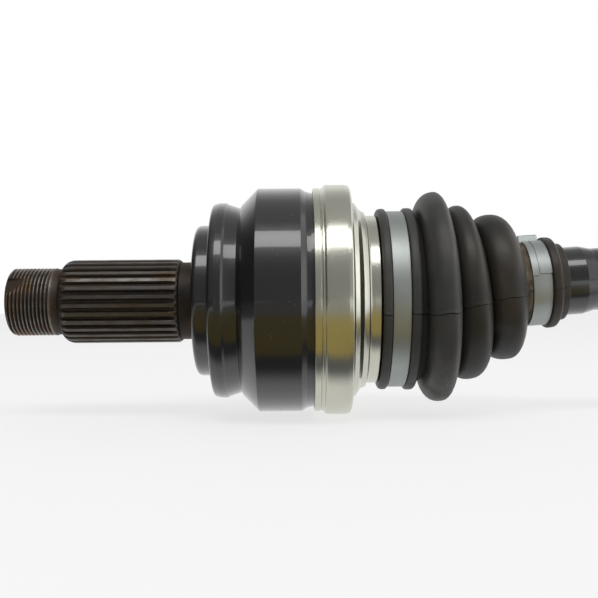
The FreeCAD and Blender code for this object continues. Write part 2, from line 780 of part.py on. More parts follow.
def axle_bar():
    """The bar, with a splined end, a collar and a boot seat for each joint."""
    body = new_body("axle_bar", ON_BAR)
    far = sizes["centre_distance"]
    corners = bar_end_corners(-1)
    corners += boot_seat_corners(sizes["outboard_boot_reach"])
    corners += [(far - x, r) for x, r in reversed(boot_seat_corners(sizes["inboard_boot_reach"]))]
    corners += [(far + x, r) for x, r in reversed(bar_end_corners(1))]
    turned(body, corners)
    spline_end = sizes["inner_race_half_width"] + sizes["circlip_clearance"]
    cut_start = sizes["bar_end_reach"] + sizes["overshoot"]
    cut_outer_spline(body, "outboard_bar_spline", sizes["bar_spline_radius"], sizes["bar_spline_depth"],
                     sizes["bar_spline_teeth"], -cut_start, spline_end, sizes["bar_cutter_radius"])
    cut_outer_spline(body, "inboard_bar_spline", sizes["bar_spline_radius"], sizes["bar_spline_depth"],
                     sizes["bar_spline_teeth"], far + cut_start, far - spline_end,
                     sizes["bar_cutter_radius"])
    return body


def boot_seat_end(boot_reach):
    """Where the neck under a boot's large end stops, from the joint's centre."""
    return (boot_reach + sizes["large_rib_width"] + sizes["large_groove_width"]
            + sizes["large_inner_rib_width"] + sizes["boot_seat_overrun"])


def outboard_collar_can():
    """The pressed can: a lip rolled into the bell's groove, a band, and a stepped neck for the boot."""
    body = new_body("outboard_collar_can", ON_STUB)
    sheet = sizes["can_sheet"]
    lip_end = sizes["crimp_groove_end_reach"]
    lip = lip_end - sizes["can_lip_length"]
    band = sizes["can_band_radius"]
    face = sizes["can_face_reach"]
    corner = sizes["can_corner"]
    rise = band - sizes["can_lip_radius"]
    step = band - sizes["can_face_width"]
    throat_end = face + sizes["can_throat_length"]
    cover = sizes["neck_cover_radius"]
    seat_start = throat_end + sizes["neck_cover_length"]
    seat = sizes["boot_seat_radius"]
    seat_end = sizes["joint_reach"] + boot_seat_end(sizes["outboard_boot_reach"])
    bend = sizes["can_throat_bend"]
    mitre = sheet * sizes["can_throat_mitre"]
    turned(body, [
        (lip, sizes["can_lip_radius"] - sheet),
        (lip, sizes["can_lip_radius"]),
        (lip_end, sizes["can_lip_radius"]),
        (lip_end + rise, band),
        (face - corner, band),
        (face, band - corner, -corner),
        (face, step),
        (throat_end, cover, -bend),
        (seat_start, cover),
        (seat_start + sizes["boot_seat_step"], seat),
        (seat_end, seat),
        (seat_end, seat - sheet),
        (seat_start + sizes["boot_seat_step"] - sheet, seat - sheet),
        (seat_start - sheet, cover - sheet),
        (throat_end - mitre, cover - sheet),
        (face - sheet, step - mitre, bend),
        (face - sheet, band - sheet),
        (lip_end + rise - sizes["groove_slope"], band - sheet),
        (lip_end - sizes["groove_slope"], sizes["can_lip_radius"] - sheet),
    ])
    return body


def flat_ring(name, placement, start, thickness, inner, outer, bolted):
    """A flat washer-shaped piece, with the flange's bolt holes where it is bolted."""
    body = new_body(name, placement)
    turned(body, [(start, inner), (start, outer), (start + thickness, outer), (start + thickness, inner)])
    if bolted:
        drill_bolt_holes(body, start, thickness)
    return body


def drill_bolt_holes(body, start, thickness):
    """The bolt holes, between the ball tracks."""
    sketch = offset_sketch(body, body.Name + "_hole_section", start - sizes["overshoot"])
    across = circle_share(sizes["bolt_circle_radius"], 0.5 / sizes["bolt_count"])
    squares = sizes["bolt_circle_radius"] * sizes["bolt_circle_radius"] - across * across
    up = Size(math.sqrt(squares.value), f"sqrt({squares.formula})")
    draw_circle(sketch, across, up, sizes["bolt_hole_radius"])
    hole = body.newObject("PartDesign::Pocket", body.Name + "_hole")
    hole.Profile = sketch
    hole.Reversed = True
    hole.setExpression("Length", (thickness + sizes["overshoot"] * 2).formula)
    document.recompute()
    repeat_round(body, [hole], sizes["bolt_count"])


def inboard_outer_race():
    """The plunging joint's outer ring: a plain bore with straight tracks and bolt holes between them."""
    body = new_body("inboard_outer_race", ON_INBOARD_JOINT)
    half_width = sizes["flange_half_width"]
    chamfer = sizes["flange_chamfer"]
    bore = sizes["cage_outer_radius"] + sizes["cage_clearance"]
    rim = sizes["flange_radius"]
    turned(body, [
        (-half_width, bore),
        (-half_width, rim - chamfer),
        (chamfer - half_width, rim),
        (half_width - chamfer, rim),
        (half_width, rim - chamfer),
        (half_width, bore),
    ])
    cut_straight_tracks(body, half_width)
    drill_bolt_holes(body, -half_width, half_width * 2)
    return body


def inboard_end_cap():
    """The pressed cover on the differential side: a bolted flange and a dome that clears the bar's end."""
    body = new_body("inboard_end_cap", ON_INBOARD_JOINT)
    sheet = sizes["cover_sheet"]
    start = sizes["flange_half_width"] + sizes["gasket_thickness"]
    face = start + sheet
    wall = sizes["cap_dome_radius"]
    bend = sizes["cover_bend"]
    wall_end = face + sizes["cap_wall_length"]
    apex = wall_end + sizes["cap_dome_height"]
    rim = sizes["flange_radius"] - sizes["flange_chamfer"]
    turned(body, [
        (apex - sheet, 0),
        (wall_end - sheet / 2, wall - sheet, "ball"),
        (start, wall - sheet),
        (start, rim),
        (face, rim),
        (face, wall + bend),
        (face + bend, wall, bend),
        (wall_end, wall),
        (apex, 0, "ball"),
    ])
    drill_bolt_holes(body, start, sheet)
    return body


def inboard_boot_adapter():
    """The pressed carrier on the bar side: a bolted flange, a drum over the cage, and the boot's neck."""
    body = new_body("inboard_boot_adapter", ON_INBOARD_JOINT)
    sheet = sizes["cover_sheet"]
    start = -sizes["flange_half_width"] - sizes["gasket_thickness"]
    face = start - sheet
    drum = sizes["adapter_drum_radius"]
    bend = sizes["cover_bend"]
    drum_end = face - sizes["adapter_drum_length"]
    cone_end = drum_end - sizes["adapter_cone_length"]
    seat = sizes["boot_seat_radius"]
    seat_end = -boot_seat_end(sizes["inboard_boot_reach"])
    rim = sizes["flange_radius"] - sizes["flange_chamfer"]
    turned(body, [
        (start, rim),
        (start, drum - sheet),
        (drum_end, drum - sheet),
        (cone_end, seat - sheet),
        (seat_end, seat - sheet),
        (seat_end, seat),
        (cone_end, seat),
        (drum_end, drum),
        (face - bend, drum),
        (face, drum + bend, bend),
        (face, rim),
    ])
    drill_bolt_holes(body, start - sheet, sheet)
    return body


def band_clamp(name, placement, start, width, inner, ear_angle):
    """A spring-steel band closed by a crimped ear that stands off the band."""
    body = new_body(name, placement)
    band = sizes["clamp_band"]
    outer = inner + band
    turned(body, [(start, inner), (start, outer), (start + width, outer), (start + width, inner)])
    sketch = offset_sketch(body, name + "_ear_section", start, ear_angle.value)
    foot = outer - band / 2
    crown = outer + sizes["ear_height"]
    half_foot = sizes["ear_width"] / 2
    half_crown = half_foot * sizes["ear_crown_share"]
    draw_outline(sketch, [
        (-half_foot, foot),
        (-half_crown - band / 2, crown - band),
        (-half_crown + band / 2, crown),
        (half_crown - band / 2, crown),
        (half_crown + band / 2, crown - band),
        (half_foot, foot),
        (half_foot - band, foot),
        (half_crown - band / 2, crown - band),
        (-half_crown + band / 2, crown - band),
        (-half_foot + band, foot),
    ])
    ear = body.newObject("PartDesign::Pad", name + "_ear")
    ear.Profile = sketch
    ear.setExpression("Length", width.formula)
    document.recompute()
    return body


def boot_fold(start, crest, end, rings):
    """A fat round fold from valley to valley. Each point is (reach, radius)."""
    points = []
    for index in range(1, rings):
        share = index / rings
        if share <= 0.5:
            valley = start
            across = share * 2
        else:
            valley = end
            across = (1 - share) * 2
        reach = valley[0] + (crest[0] - valley[0]) * (1 - math.cos(across * math.pi / 2))
        radius = valley[1] + (crest[1] - valley[1]) * math.sin(across * math.pi / 2)
        points.append((reach, radius))
    points.append(end)
    return points


def boot_outline():
    """The boot's section as a closed run of (reach, radius): its outside, then its inside back."""
    value = {name: size.value for name, size in sizes.items()}
    bevel = value["boot_bevel"]
    rings = int(value["fold_ring_count"])
    large_inner = value["boot_seat_radius"] + value["boot_seat_clearance"]
    groove_end = value["large_rib_width"] + value["large_groove_width"]
    large_end = groove_end + value["large_inner_rib_width"]
    large_rib = value["large_rib_radius"]
    valleys = [(value[f"valley_{name}_reach"], value[f"valley_{name}_radius"])
               for name in ("zero", "one", "two")]
    crests = [(value[f"fold_{name}_reach"], value[f"fold_{name}_radius"])
              for name in ("one", "two", "three")]
    neck_start = value["small_neck_reach"]
    throat = (neck_start - value["throat_length"], value["throat_radius"])
    rib_start = neck_start + value["small_groove_width"]
    rib_end = rib_start + value["small_rib_width"]
    lip_end = rib_end + value["small_lip_width"]
    small_inner = value["seat_radius"] + value["boot_seat_clearance"]
    outside = [
        (0, large_inner), (0, large_rib - bevel), (bevel, large_rib),
        (value["large_rib_width"], large_rib), (value["large_rib_width"], value["large_groove_radius"]),
        (groove_end, value["large_groove_radius"]), (groove_end, large_rib),
        (large_end - bevel, large_rib), (large_end, large_rib - bevel), valleys[0],
    ]
    outside += boot_fold(valleys[0], crests[0], valleys[1], rings)
    outside += boot_fold(valleys[1], crests[1], valleys[2], rings)
    outside += boot_fold(valleys[2], crests[2], throat, rings)
    outside += [
        (neck_start, value["small_groove_radius"]), (rib_start, value["small_groove_radius"]),
        (rib_start, value["small_rib_radius"]), (rib_end - bevel, value["small_rib_radius"]),
        (rib_end, value["small_rib_radius"] - bevel), (rib_end, value["small_lip_radius"]),
        (lip_end, value["small_lip_radius"]), (lip_end, small_inner), (neck_start, small_inner),
    ]
    wall = value["boot_wall"]
    inside = [(throat[0], throat[1] - wall)]
    for crest, valley in ((crests[2], valleys[2]), (crests[1], valleys[1]), (crests[0], valleys[0])):
        inside += [(crest[0], crest[1] - wall), (valley[0], valley[1] - wall)]
    return outside + inside


def boot_ring(reach, radius, boot_reach, rest_angle):
    """A round section of the boot. Past the large end it tilts and rises towards the bar's axis."""
    start = sizes["valley_zero_reach"].value
    share = (reach - start) / (sizes["small_neck_reach"].value - start)
    share = min(max(share, 0.0), 1.0)
    eased = share * share * (3 - 2 * share)
    tilt = math.radians(rest_angle) * (eased + sizes["fold_fan"].value * math.sin(math.pi * share))
    along = boot_reach.value + reach
    rest = math.radians(rest_angle)
    centre = Vector(along * (1 + eased * (math.cos(rest) - 1)), 0, along * eased * math.sin(rest))
    circle = Part.Circle(centre, Vector(math.cos(tilt), 0, math.sin(tilt)), radius)
    return circle.toShape()


def rubber_boot(name, placement, boot_reach, rest_angle):
    """A boot with three folds, skinned over its ring sections. It opens along the placement's +X."""
    rings = [boot_ring(reach, radius, boot_reach, rest_angle) for reach, radius in boot_outline()]
    faces = []
    for index, ring in enumerate(rings):
        faces.append(Part.makeRuledSurface(rings[index - 1], ring))
    skin = Part.makeShell(faces)
    skin.sewShape()
    boot = document.addObject("Part::Feature", name)
    boot.Label = name
    boot.Shape = Part.makeSolid(skin)
    boot.Placement = placement
    sub_parts.append(boot)
    return boot


def boot_clamps(prefix, large_placement, small_placement, boot_reach, side):
    """The two clamps of a boot, in its two grooves."""
    gap = sizes["clamp_side_clearance"]
    large_start = boot_reach + sizes["large_rib_width"] + gap
    large_width = sizes["large_groove_width"] - gap * 2
    small_start = boot_reach + sizes["small_neck_reach"] + gap
    small_width = sizes["small_groove_width"] - gap * 2
    if side < 0:
        large_start = -large_start - large_width
        small_start = -small_start - small_width
    clearance = sizes["clamp_clearance"]
    band_clamp(prefix + "_large_clamp", large_placement, large_start, large_width,
               sizes["large_groove_radius"] + clearance, sizes["large_ear_angle"])
    band_clamp(prefix + "_small_clamp", small_placement, small_start, small_width,
               sizes["small_groove_radius"] + clearance, sizes["small_ear_angle"])


def main():
    """Builds every sub-part, outboard to inboard, and writes it."""
    outboard_outer_race()
    outboard_collar_can()
    flat_ring("outboard_can_seal", ON_STUB, sizes["mouth_reach"], sizes["seal_thickness"],
              sizes["bell_radius"] - sizes["seal_width"], sizes["bell_radius"], False)
    inner_race("outboard_inner_race", ON_BAR, True)
    ball_cage("outboard_cage", ON_HALF_ANGLE)
    joint_balls("outboard", ON_HALF_ANGLE)
    axle_bar()
    groove_near = sizes["inner_race_half_width"] + sizes["circlip_clearance"]
    circlip("outboard_circlip", ON_BAR, groove_near, -1)
    outboard_centre = Placement(OUTBOARD_CENTRE, Rotation())
    rubber_boot("outboard_boot", outboard_centre, sizes["outboard_boot_reach"],
                sizes["rest_angle"].value)
    boot_clamps("outboard", outboard_centre, ON_BAR, sizes["outboard_boot_reach"], 1)

    inboard_outer_race()
    inner_race("inboard_inner_race", ON_INBOARD_JOINT, False)
    ball_cage("inboard_cage", ON_INBOARD_JOINT)
    joint_balls("inboard", ON_INBOARD_JOINT)
    circlip("inboard_circlip", ON_INBOARD_JOINT, groove_near, 1)
    flange_end = sizes["flange_half_width"]
    gasket = sizes["gasket_thickness"]
    gasket_outer = sizes["flange_radius"] - sizes["flange_chamfer"]
    flat_ring("inboard_cap_gasket", ON_INBOARD_JOINT, flange_end, gasket,
              sizes["gasket_inner_radius"], gasket_outer, True)
    flat_ring("inboard_adapter_gasket", ON_INBOARD_JOINT, -flange_end - gasket, gasket,
              sizes["gasket_inner_radius"], gasket_outer, True)
    inboard_end_cap()
    inboard_boot_adapter()
    facing_bar = ON_INBOARD_JOINT * Placement(Vector(), Rotation(SKETCH_NORMAL, 180))
    rubber_boot("inboard_boot", facing_bar, sizes["inboard_boot_reach"], 0)
    boot_clamps("inboard", ON_INBOARD_JOINT, ON_INBOARD_JOINT, sizes["inboard_boot_reach"], -1)
    finish_checks()
    write_parts()


main()
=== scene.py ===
import json
import math

import bmesh
import bpy
import numpy as np
from mathutils import Matrix, Vector


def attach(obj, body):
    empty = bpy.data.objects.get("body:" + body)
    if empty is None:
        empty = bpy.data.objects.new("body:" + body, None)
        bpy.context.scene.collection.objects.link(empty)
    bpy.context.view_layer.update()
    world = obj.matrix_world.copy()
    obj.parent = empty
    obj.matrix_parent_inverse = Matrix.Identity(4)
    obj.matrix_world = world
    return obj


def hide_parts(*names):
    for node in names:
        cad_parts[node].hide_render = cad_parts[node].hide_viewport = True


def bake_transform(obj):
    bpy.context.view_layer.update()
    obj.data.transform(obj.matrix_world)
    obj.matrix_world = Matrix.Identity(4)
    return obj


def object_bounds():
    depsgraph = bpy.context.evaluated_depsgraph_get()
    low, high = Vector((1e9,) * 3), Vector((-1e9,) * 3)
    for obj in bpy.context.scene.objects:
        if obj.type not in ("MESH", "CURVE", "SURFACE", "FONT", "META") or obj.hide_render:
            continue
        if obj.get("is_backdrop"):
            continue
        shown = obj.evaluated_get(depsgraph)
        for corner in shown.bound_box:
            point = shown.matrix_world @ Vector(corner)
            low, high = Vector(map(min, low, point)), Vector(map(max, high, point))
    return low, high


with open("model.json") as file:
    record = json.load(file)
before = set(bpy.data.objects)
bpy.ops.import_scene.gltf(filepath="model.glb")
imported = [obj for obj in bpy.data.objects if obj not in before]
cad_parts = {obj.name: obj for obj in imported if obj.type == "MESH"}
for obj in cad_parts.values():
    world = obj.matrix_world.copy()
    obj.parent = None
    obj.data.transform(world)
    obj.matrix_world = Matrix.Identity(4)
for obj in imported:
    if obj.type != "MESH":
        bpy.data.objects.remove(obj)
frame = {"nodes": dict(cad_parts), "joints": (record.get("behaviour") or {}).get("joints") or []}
cad_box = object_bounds()

# The view: a camera level with the shaft, about 355 mm in front of the bell, as a product photograph
# has it. Only the outboard half of the shaft is in the picture, and the bar leaves it on the right.
PHOTO_WIDTH_PX = 598
FOCAL_LENGTH_PX = 880
CAMERA_DISTANCE = 0.355
CAMERA_ALONG = 0.0405
CAMERA_HEIGHT = 0.0003
CAMERA_ROLL = math.radians(-0.5)
SENSOR_WIDTH = 36

camera_data = bpy.data.cameras.new("product_camera")
camera_data.sensor_width = SENSOR_WIDTH
camera_data.lens = SENSOR_WIDTH * FOCAL_LENGTH_PX / PHOTO_WIDTH_PX
camera_data.clip_start = 0.01
camera = bpy.data.objects.new("product_camera", camera_data)
bpy.context.collection.objects.link(camera)
facing = Matrix.Rotation(math.radians(90), 4, "X") @ Matrix.Rotation(CAMERA_ROLL, 4, "Z")
camera.matrix_world = Matrix.Translation((CAMERA_ALONG, -CAMERA_DISTANCE, CAMERA_HEIGHT)) @ facing
bpy.context.scene.camera = camera
bpy.context.scene.view_settings.view_transform = "Standard"


# The ground and the light: a white table and backdrop as the camera sees them, a long soft box high in
# front, a faint one above, and a room that is bright behind and on the right. In the shaft's gloss the room
# in front is dim, and the table glows with a painted shade of the shaft, a painted warm reflection in front
# of that, and painted light on the right.
class Wire:
    """A value in a node tree. Arithmetic on wires adds the Math nodes that work it out."""

    def __init__(self, graph, socket):
        self.graph = graph
        self.socket = socket

    def maths(self, operation, *values):
        return self.graph.node("ShaderNodeMath", {"operation": operation}, dict(enumerate(values)))

    def __add__(self, other):
        return self.maths("ADD", self, other)

    __radd__ = __add__

    def __sub__(self, other):
        return self.maths("SUBTRACT", self, other)

    def __rsub__(self, other):
        return self.maths("SUBTRACT", other, self)

    def __mul__(self, other):
        return self.maths("MULTIPLY", self, other)

    __rmul__ = __mul__

    def root(self):
        return self.maths("SQRT", self)

    def larger(self, other):
        return self.maths("MAXIMUM", self, other)

    def eased(self, low, high, least=0.0, most=1.0):
        """least below low, most above high and a smooth step between."""
        return self.graph.node("ShaderNodeMapRange", {"interpolation_type": "SMOOTHSTEP"},
                               {0: self, 1: low, 2: high, 3: least, 4: most})


class Graph:
    """The node tree of the room or of a finish."""

    def __init__(self, tree):
        self.tree = tree

    def node(self, kind, settings=None, inputs=None, output=0):
        """Adds a node: its settings come first, then the values or wires of its inputs."""
        made = self.tree.nodes.new(kind)
        for name, value in (settings or {}).items():
            setattr(made, name, value)
        for name, value in (inputs or {}).items():
            if isinstance(value, Wire):
                self.tree.links.new(value.socket, made.inputs[name])
            elif isinstance(value, tuple) and len(value) == 3 and made.inputs[name].type == "RGBA":
                made.inputs[name].default_value = (*value, 1)
            else:
                made.inputs[name].default_value = value
        return Wire(self, made.outputs[output])

    def parts_of(self, vector):
        """The three components of a vector."""
        return [self.node("ShaderNodeSeparateXYZ", {}, {0: vector}, index) for index in range(3)]


class Finish(Graph):
    """A material with one principled shader."""

    def __init__(self, name, **constants):
        self.material = bpy.data.materials.new(name)
        self.material.use_nodes = True
        super().__init__(self.material.node_tree)
        self.shader = self.tree.nodes["Principled BSDF"]
        for socket, value in constants.items():
            self.shader.inputs[socket.replace("_", " ")].default_value = value

    def place(self, origin=(0, 0, 0), tilt=0.0, scale=(1, 1, 1)):
        """Coordinates on the object, turned so that X runs along the piece's own axis."""
        at = self.node("ShaderNodeTexCoord", output="Object")
        moved = self.node("ShaderNodeVectorMath", {"operation": "SUBTRACT"}, {0: at, 1: origin})
        level = self.node("ShaderNodeVectorRotate", {"rotation_type": "Y_AXIS"},
                          {"Vector": moved, "Angle": tilt})
        return self.node("ShaderNodeVectorMath", {"operation": "MULTIPLY"}, {0: level, 1: scale})

    def noise(self, at, scale, detail=3, roughness=0.55):
        inputs = {"Vector": at, "Scale": scale, "Detail": detail, "Roughness": roughness}
        return self.node("ShaderNodeTexNoise", {}, inputs)

    def mix(self, share, first, second):
        """A colour between two, by a share from 0 to 1."""
        return self.node("ShaderNodeMix", {"data_type": "RGBA"}, {0: share, 6: first, 7: second}, 2)

    def feed(self, **wires):
        """Links wires to the shader's own sockets."""
        for name, wire in wires.items():
            self.tree.links.new(wire.socket, self.shader.inputs[name.replace("_", " ")])

    def bump(self, height, strength, distance):
        """Feeds the shader's normal with a relief of that height, in metres at distance."""
        relief = self.node("ShaderNodeBump", {}, {"Height": height, "Strength": strength,
                                                 "Distance": distance})
        self.feed(Normal=relief)


BACKDROP_SIZE = 6.0
FLOOR_DROP = 0.0004
FRONT_LIGHT = 0.30
BEHIND_LIGHT = 0.92
BEHIND_RANGE = (0.45, 0.88)
LEFT_SHARE = 0.22
LEFT_RANGE = (-0.92, -0.45)
RIGHT_LIGHT = 1.7
RIGHT_RANGE = (0.66, 0.88)
SIDE_BOX_LIGHT = 1.1
SIDE_BOX_EDGE = (0.50, 0.60)
SIDE_BOX_FOOT = (-0.02, 0.06)
CAMERA_SHARE = 0.72
GLOSS_SHARE = 0.94
CAMERA_WHITE = (1.0, 1.0, 1.0)
# The table's colours as the shaft's gloss sees them are painted: a painted warm reflection, a painted shade
# strip of the shaft and painted light on the right.
NEUTRAL_FLOOR = (0.33, 0.31, 0.27)
PAINTED_WARM_REFLECTION = (0.36, 0.275, 0.075)
PAINTED_SHADE_FLOOR = (0.10, 0.10, 0.11)
BRIGHT_FLOOR = (0.90, 0.90, 0.90)
RIGHT_FLOOR_GLOW = (1.35, 1.38, 1.42)
FRONT_BANDS = [
    (-0.22, -0.165, PAINTED_WARM_REFLECTION), (-0.062, -0.053, PAINTED_SHADE_FLOOR), (-0.045, -0.030, BRIGHT_FLOOR),
]
LEFT_BANDS = [(-0.13, -0.09, BRIGHT_FLOOR), (-0.24, -0.16, PAINTED_SHADE_FLOOR)]
RIGHT_BAND = (0.17, 0.27)

world = bpy.data.worlds.new("room")
bpy.context.scene.world = world
world.use_nodes = True
room = Graph(world.node_tree)
way_x, way_y, way_z = room.parts_of(room.node("ShaderNodeTexCoord", output="Generated"))
room_behind = way_y.eased(*BEHIND_RANGE, FRONT_LIGHT, BEHIND_LIGHT)
room_left = way_x.eased(*LEFT_RANGE, LEFT_SHARE, 1.0)
side_box = way_x.eased(*SIDE_BOX_EDGE, 0.0, SIDE_BOX_LIGHT) * way_z.eased(*SIDE_BOX_FOOT)
room_right = way_x.eased(*RIGHT_RANGE, 0.0, RIGHT_LIGHT).larger(side_box)
room_light = (room_behind * room_left).larger(room_right)
for_camera = room.node("ShaderNodeLightPath", output="Is Camera Ray")
room_strength = room.node("ShaderNodeMix", {}, {"Factor": for_camera, "A": room_light, "B": 1.0}, "Result")
background = room.tree.nodes["Background"]
background.inputs["Color"].default_value = (1, 1, 1, 1)
room.tree.links.new(room_strength.socket, background.inputs["Strength"])

table_low = cad_box[0].z - FLOOR_DROP
table_half = BACKDROP_SIZE / 2
table_mesh = bpy.data.meshes.new("table")
table_mesh.from_pydata([(-table_half, -table_half, table_low), (table_half, -table_half, table_low),
                        (table_half, table_half, table_low), (-table_half, table_half, table_low)],
                       [], [(0, 1, 2, 3)])
table = bpy.data.objects.new("table", table_mesh)
bpy.context.collection.objects.link(table)
table_finish = Finish("table_white", Base_Color=(0.82, 0.82, 0.82, 1), Roughness=0.7)
table_along, table_depth, _ = table_finish.parts_of(table_finish.place())
# The table's glow in gloss is painted by place: painted shade, painted warm reflection and painted light.
painted_floor_gloss = NEUTRAL_FLOOR
for start, end, colour in FRONT_BANDS:
    painted_floor_gloss = table_finish.mix(table_depth.eased(start, end), painted_floor_gloss, colour)
for start, end, colour in LEFT_BANDS:
    painted_floor_gloss = table_finish.mix(table_along.eased(start, end), colour, painted_floor_gloss)
painted_floor_gloss = table_finish.mix(table_along.eased(*RIGHT_BAND), painted_floor_gloss, RIGHT_FLOOR_GLOW)
seen_by_camera = table_finish.node("ShaderNodeLightPath", output="Is Camera Ray")
seen_in_gloss = table_finish.node("ShaderNodeLightPath", output="Is Glossy Ray")
table_tint = table_finish.mix(seen_by_camera, painted_floor_gloss, CAMERA_WHITE)
table_glow = table_finish.node("ShaderNodeEmission", {}, {"Color": table_tint})
table_matt = Wire(table_finish, table_finish.shader.outputs[0])
table_share = seen_by_camera * CAMERA_SHARE + seen_in_gloss * GLOSS_SHARE
table_mix = table_finish.node("ShaderNodeMixShader", {}, {0: table_share, 1: table_matt, 2: table_glow})
table_surface = table_finish.tree.nodes["Material Output"].inputs["Surface"]
table_finish.tree.links.new(table_mix.socket, table_surface)
table_mesh.materials.append(table_finish.material)
table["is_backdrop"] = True


def soft_box(name, size, location, target, power):
    """A rectangular lamp that faces a point."""
    data = bpy.data.lights.new(name, "AREA")
    data.shape = "RECTANGLE"
    data.size, data.size_y = size
    data.energy = power
    lamp = bpy.data.objects.new(name, data)
    bpy.context.collection.objects.link(lamp)
    way = Vector(target) - Vector(location)
    lamp.matrix_world = Matrix.Translation(location) @ way.to_track_quat("-Z", "Y").to_matrix().to_4x4()


soft_box("front_soft_box", size=(1.1, 0.37), location=(0.06, -0.53, 1.0), target=(0.06, 0, 0), power=6.0)
soft_box("top_soft_box", size=(1.4, 0.9), location=(0.15, 0.35, 1.2), target=(0.1, 0, 0), power=0.5)

# The joints' places: the outboard joint's centre lies inside the bell, and the bar leaves it at the angle
# at which the shaft was photographed. The inboard joint sits on the far end of the bar.
MM = 0.001
joints = {joint["name"]: joint for joint in frame["joints"]}
outboard_centre = Vector(joints["outboard_lift"]["pos_m"])
inboard_centre = Vector(joints["inboard_lift"]["pos_m"])
bar_way = Vector(joints["inboard_plunge"]["axis"]).normalized()
REST_TILT = math.atan2(bar_way.z, bar_way.x)
ON_STUB = Matrix.Identity(4)
ON_BAR = Matrix.Translation(outboard_centre) @ Matrix.Rotation(-REST_TILT, 4, "Y")
ON_INBOARD = Matrix.Translation(inboard_centre) @ Matrix.Rotation(-REST_TILT, 4, "Y")
BAR_LENGTH = (inboard_centre - outboard_centre).length / MM

# The outboard joint's forging: a stub with a fine hub-nut thread and a 30-tooth spline, a shoulder for the
# wheel bearing, and the bell of the ball joint. The stub is bare oiled steel and the rest is gloss black.
TIP = -74.5
TIP_CHAMFER = 1.3
CENTRE_DEPTH = 5.2
CENTRE_RADIUS = 3.7
THREAD_RADIUS = 13.5
THREAD_DEPTH = 0.92
THREAD_PITCH = 1.5
THREAD_CREST_SHARE = 0.10
THREAD_FLANK_SHARE = 0.32
THREAD_FADE = 1.2
THREAD_FADE_END = 0.3
THREAD_ROWS = 14
THREAD_END = -56.6
RELIEF_RADIUS = 13.2
RELIEF_END = -53.8
SPLINE_RADIUS = 16.65
SPLINE_ROOT = 15.4
SPLINE_TEETH = 30
SPLINE_GAP_SHARE = 0.15
SPLINE_FLANK_SHARE = 0.16
SPLINE_START = -48.5
SPLINE_LEAD_BEND = 5.0
SPLINE_END = -11.0
CUTTER_RADIUS = 10.0
SPLINE_EDGE = -7.8
SPLINE_EDGE_BEND = 2.4
NECK_START = -6.2
NECK_RADIUS = 15.5
NECK_FILLET = 1.5
SMOOTH_LIMIT = math.radians(32)
CORNER_LIMIT = 0.48


def rounded(corners, steps=5, closed=True):
    """An outline's points (along, radius): each corner's third number is the radius of its rounding."""
    points = []
    for index, corner in enumerate(corners):
        here = np.array(corner[:2], float)
        at_end = not closed and index in (0, len(corners) - 1)
        if len(corner) < 3 or at_end:
            points.append(here)
            continue
        before = np.array(corners[index - 1][:2], float) - here
        after = np.array(corners[(index + 1) % len(corners)][:2], float) - here
        before_length = np.linalg.norm(before)
        after_length = np.linalg.norm(after)
        cosine = before @ after / (before_length * after_length)
        half_angle = math.acos(max(-1, min(1, cosine))) / 2
        reach = corner[2] / math.tan(half_angle)
        reach = min(reach, before_length * CORNER_LIMIT, after_length * CORNER_LIMIT)
        first = here + before / before_length * reach
        last = here + after / after_length * reach
        for share in np.linspace(0, 1, steps):
            points.append(first * (1 - share) ** 2 + 2 * here * share * (1 - share) + last * share ** 2)
    return points


def solid_from_grid(name, grid, closed, place):
    """A closed mesh from rows of points round an axis. Rows at the axis close up to one point."""
    rows, columns = grid.shape[:2]
    faces = []
    for row in range(rows if closed else rows - 1):
        below = row * columns
        above = (row + 1) % rows * columns
        for column in range(columns):
            beside = (column + 1) % columns
            faces.append((below + column, below + beside, above + beside, above + column))
    mesh = bpy.data.meshes.new(name)
    mesh.from_pydata((grid.reshape(-1, 3) * MM).tolist(), [], faces)
    mesh.transform(place)
    cleaner = bmesh.new()
    cleaner.from_mesh(mesh)
    bmesh.ops.remove_doubles(cleaner, verts=cleaner.verts, dist=1e-7)
    bmesh.ops.recalc_face_normals(cleaner, faces=cleaner.faces)
    cleaner.to_mesh(mesh)
    cleaner.free()
    mesh.shade_smooth()
    mesh.set_sharp_from_angle(angle=SMOOTH_LIMIT)
    made = bpy.data.objects.new(name, mesh)
    bpy.context.collection.objects.link(made)
    return made


def spun(corners, angles, closed):
    """An outline's rows of points, at these angles round the axis."""
    points = np.array(rounded(corners, closed=closed))
    grid = np.empty((len(points), len(angles), 3))
    grid[:, :, 0] = points[:, 0, None]
    grid[:, :, 1] = points[:, 1, None] * np.cos(angles)
    grid[:, :, 2] = points[:, 1, None] * np.sin(angles)
    return grid


def turned(name, corners, place, columns=160, closed=True):
    """A turned piece from its outline. An outline that starts and ends on the axis isn't closed."""
    angles = np.arange(columns) / columns * 2 * math.pi
    return solid_from_grid(name, spun(corners, angles, closed), closed, place)


def tooth_angles():
    """Column angles with a column at each edge of every spline tooth, from the middle of its gap."""
    half = [0.0, 0.08, SPLINE_GAP_SHARE, 0.19, 0.27, SPLINE_GAP_SHARE + SPLINE_FLANK_SHARE, 0.36, 0.43]
    shares = half + [0.5] + [1 - share for share in reversed(half[1:])]
    pitch = 2 * math.pi / SPLINE_TEETH
    return np.array([(tooth + share) * pitch for tooth in range(SPLINE_TEETH) for share in shares])


def tooth_radius(angles, along):
    """The spline's radius at each angle: its gaps run straight and then lift out along the cutter's arc."""
    share = np.abs((angles * SPLINE_TEETH / (2 * math.pi) + 0.5) % 1 - 0.5)
    depth = SPLINE_RADIUS - SPLINE_ROOT
    flank = np.clip((share - SPLINE_GAP_SHARE) / SPLINE_FLANK_SHARE, 0, 1) * depth
    beyond = max(along - SPLINE_END, 0)
    lift = CUTTER_RADIUS - math.sqrt(max(CUTTER_RADIUS ** 2 - beyond ** 2, 0))
    return np.minimum(SPLINE_ROOT + flank + lift, SPLINE_RADIUS)


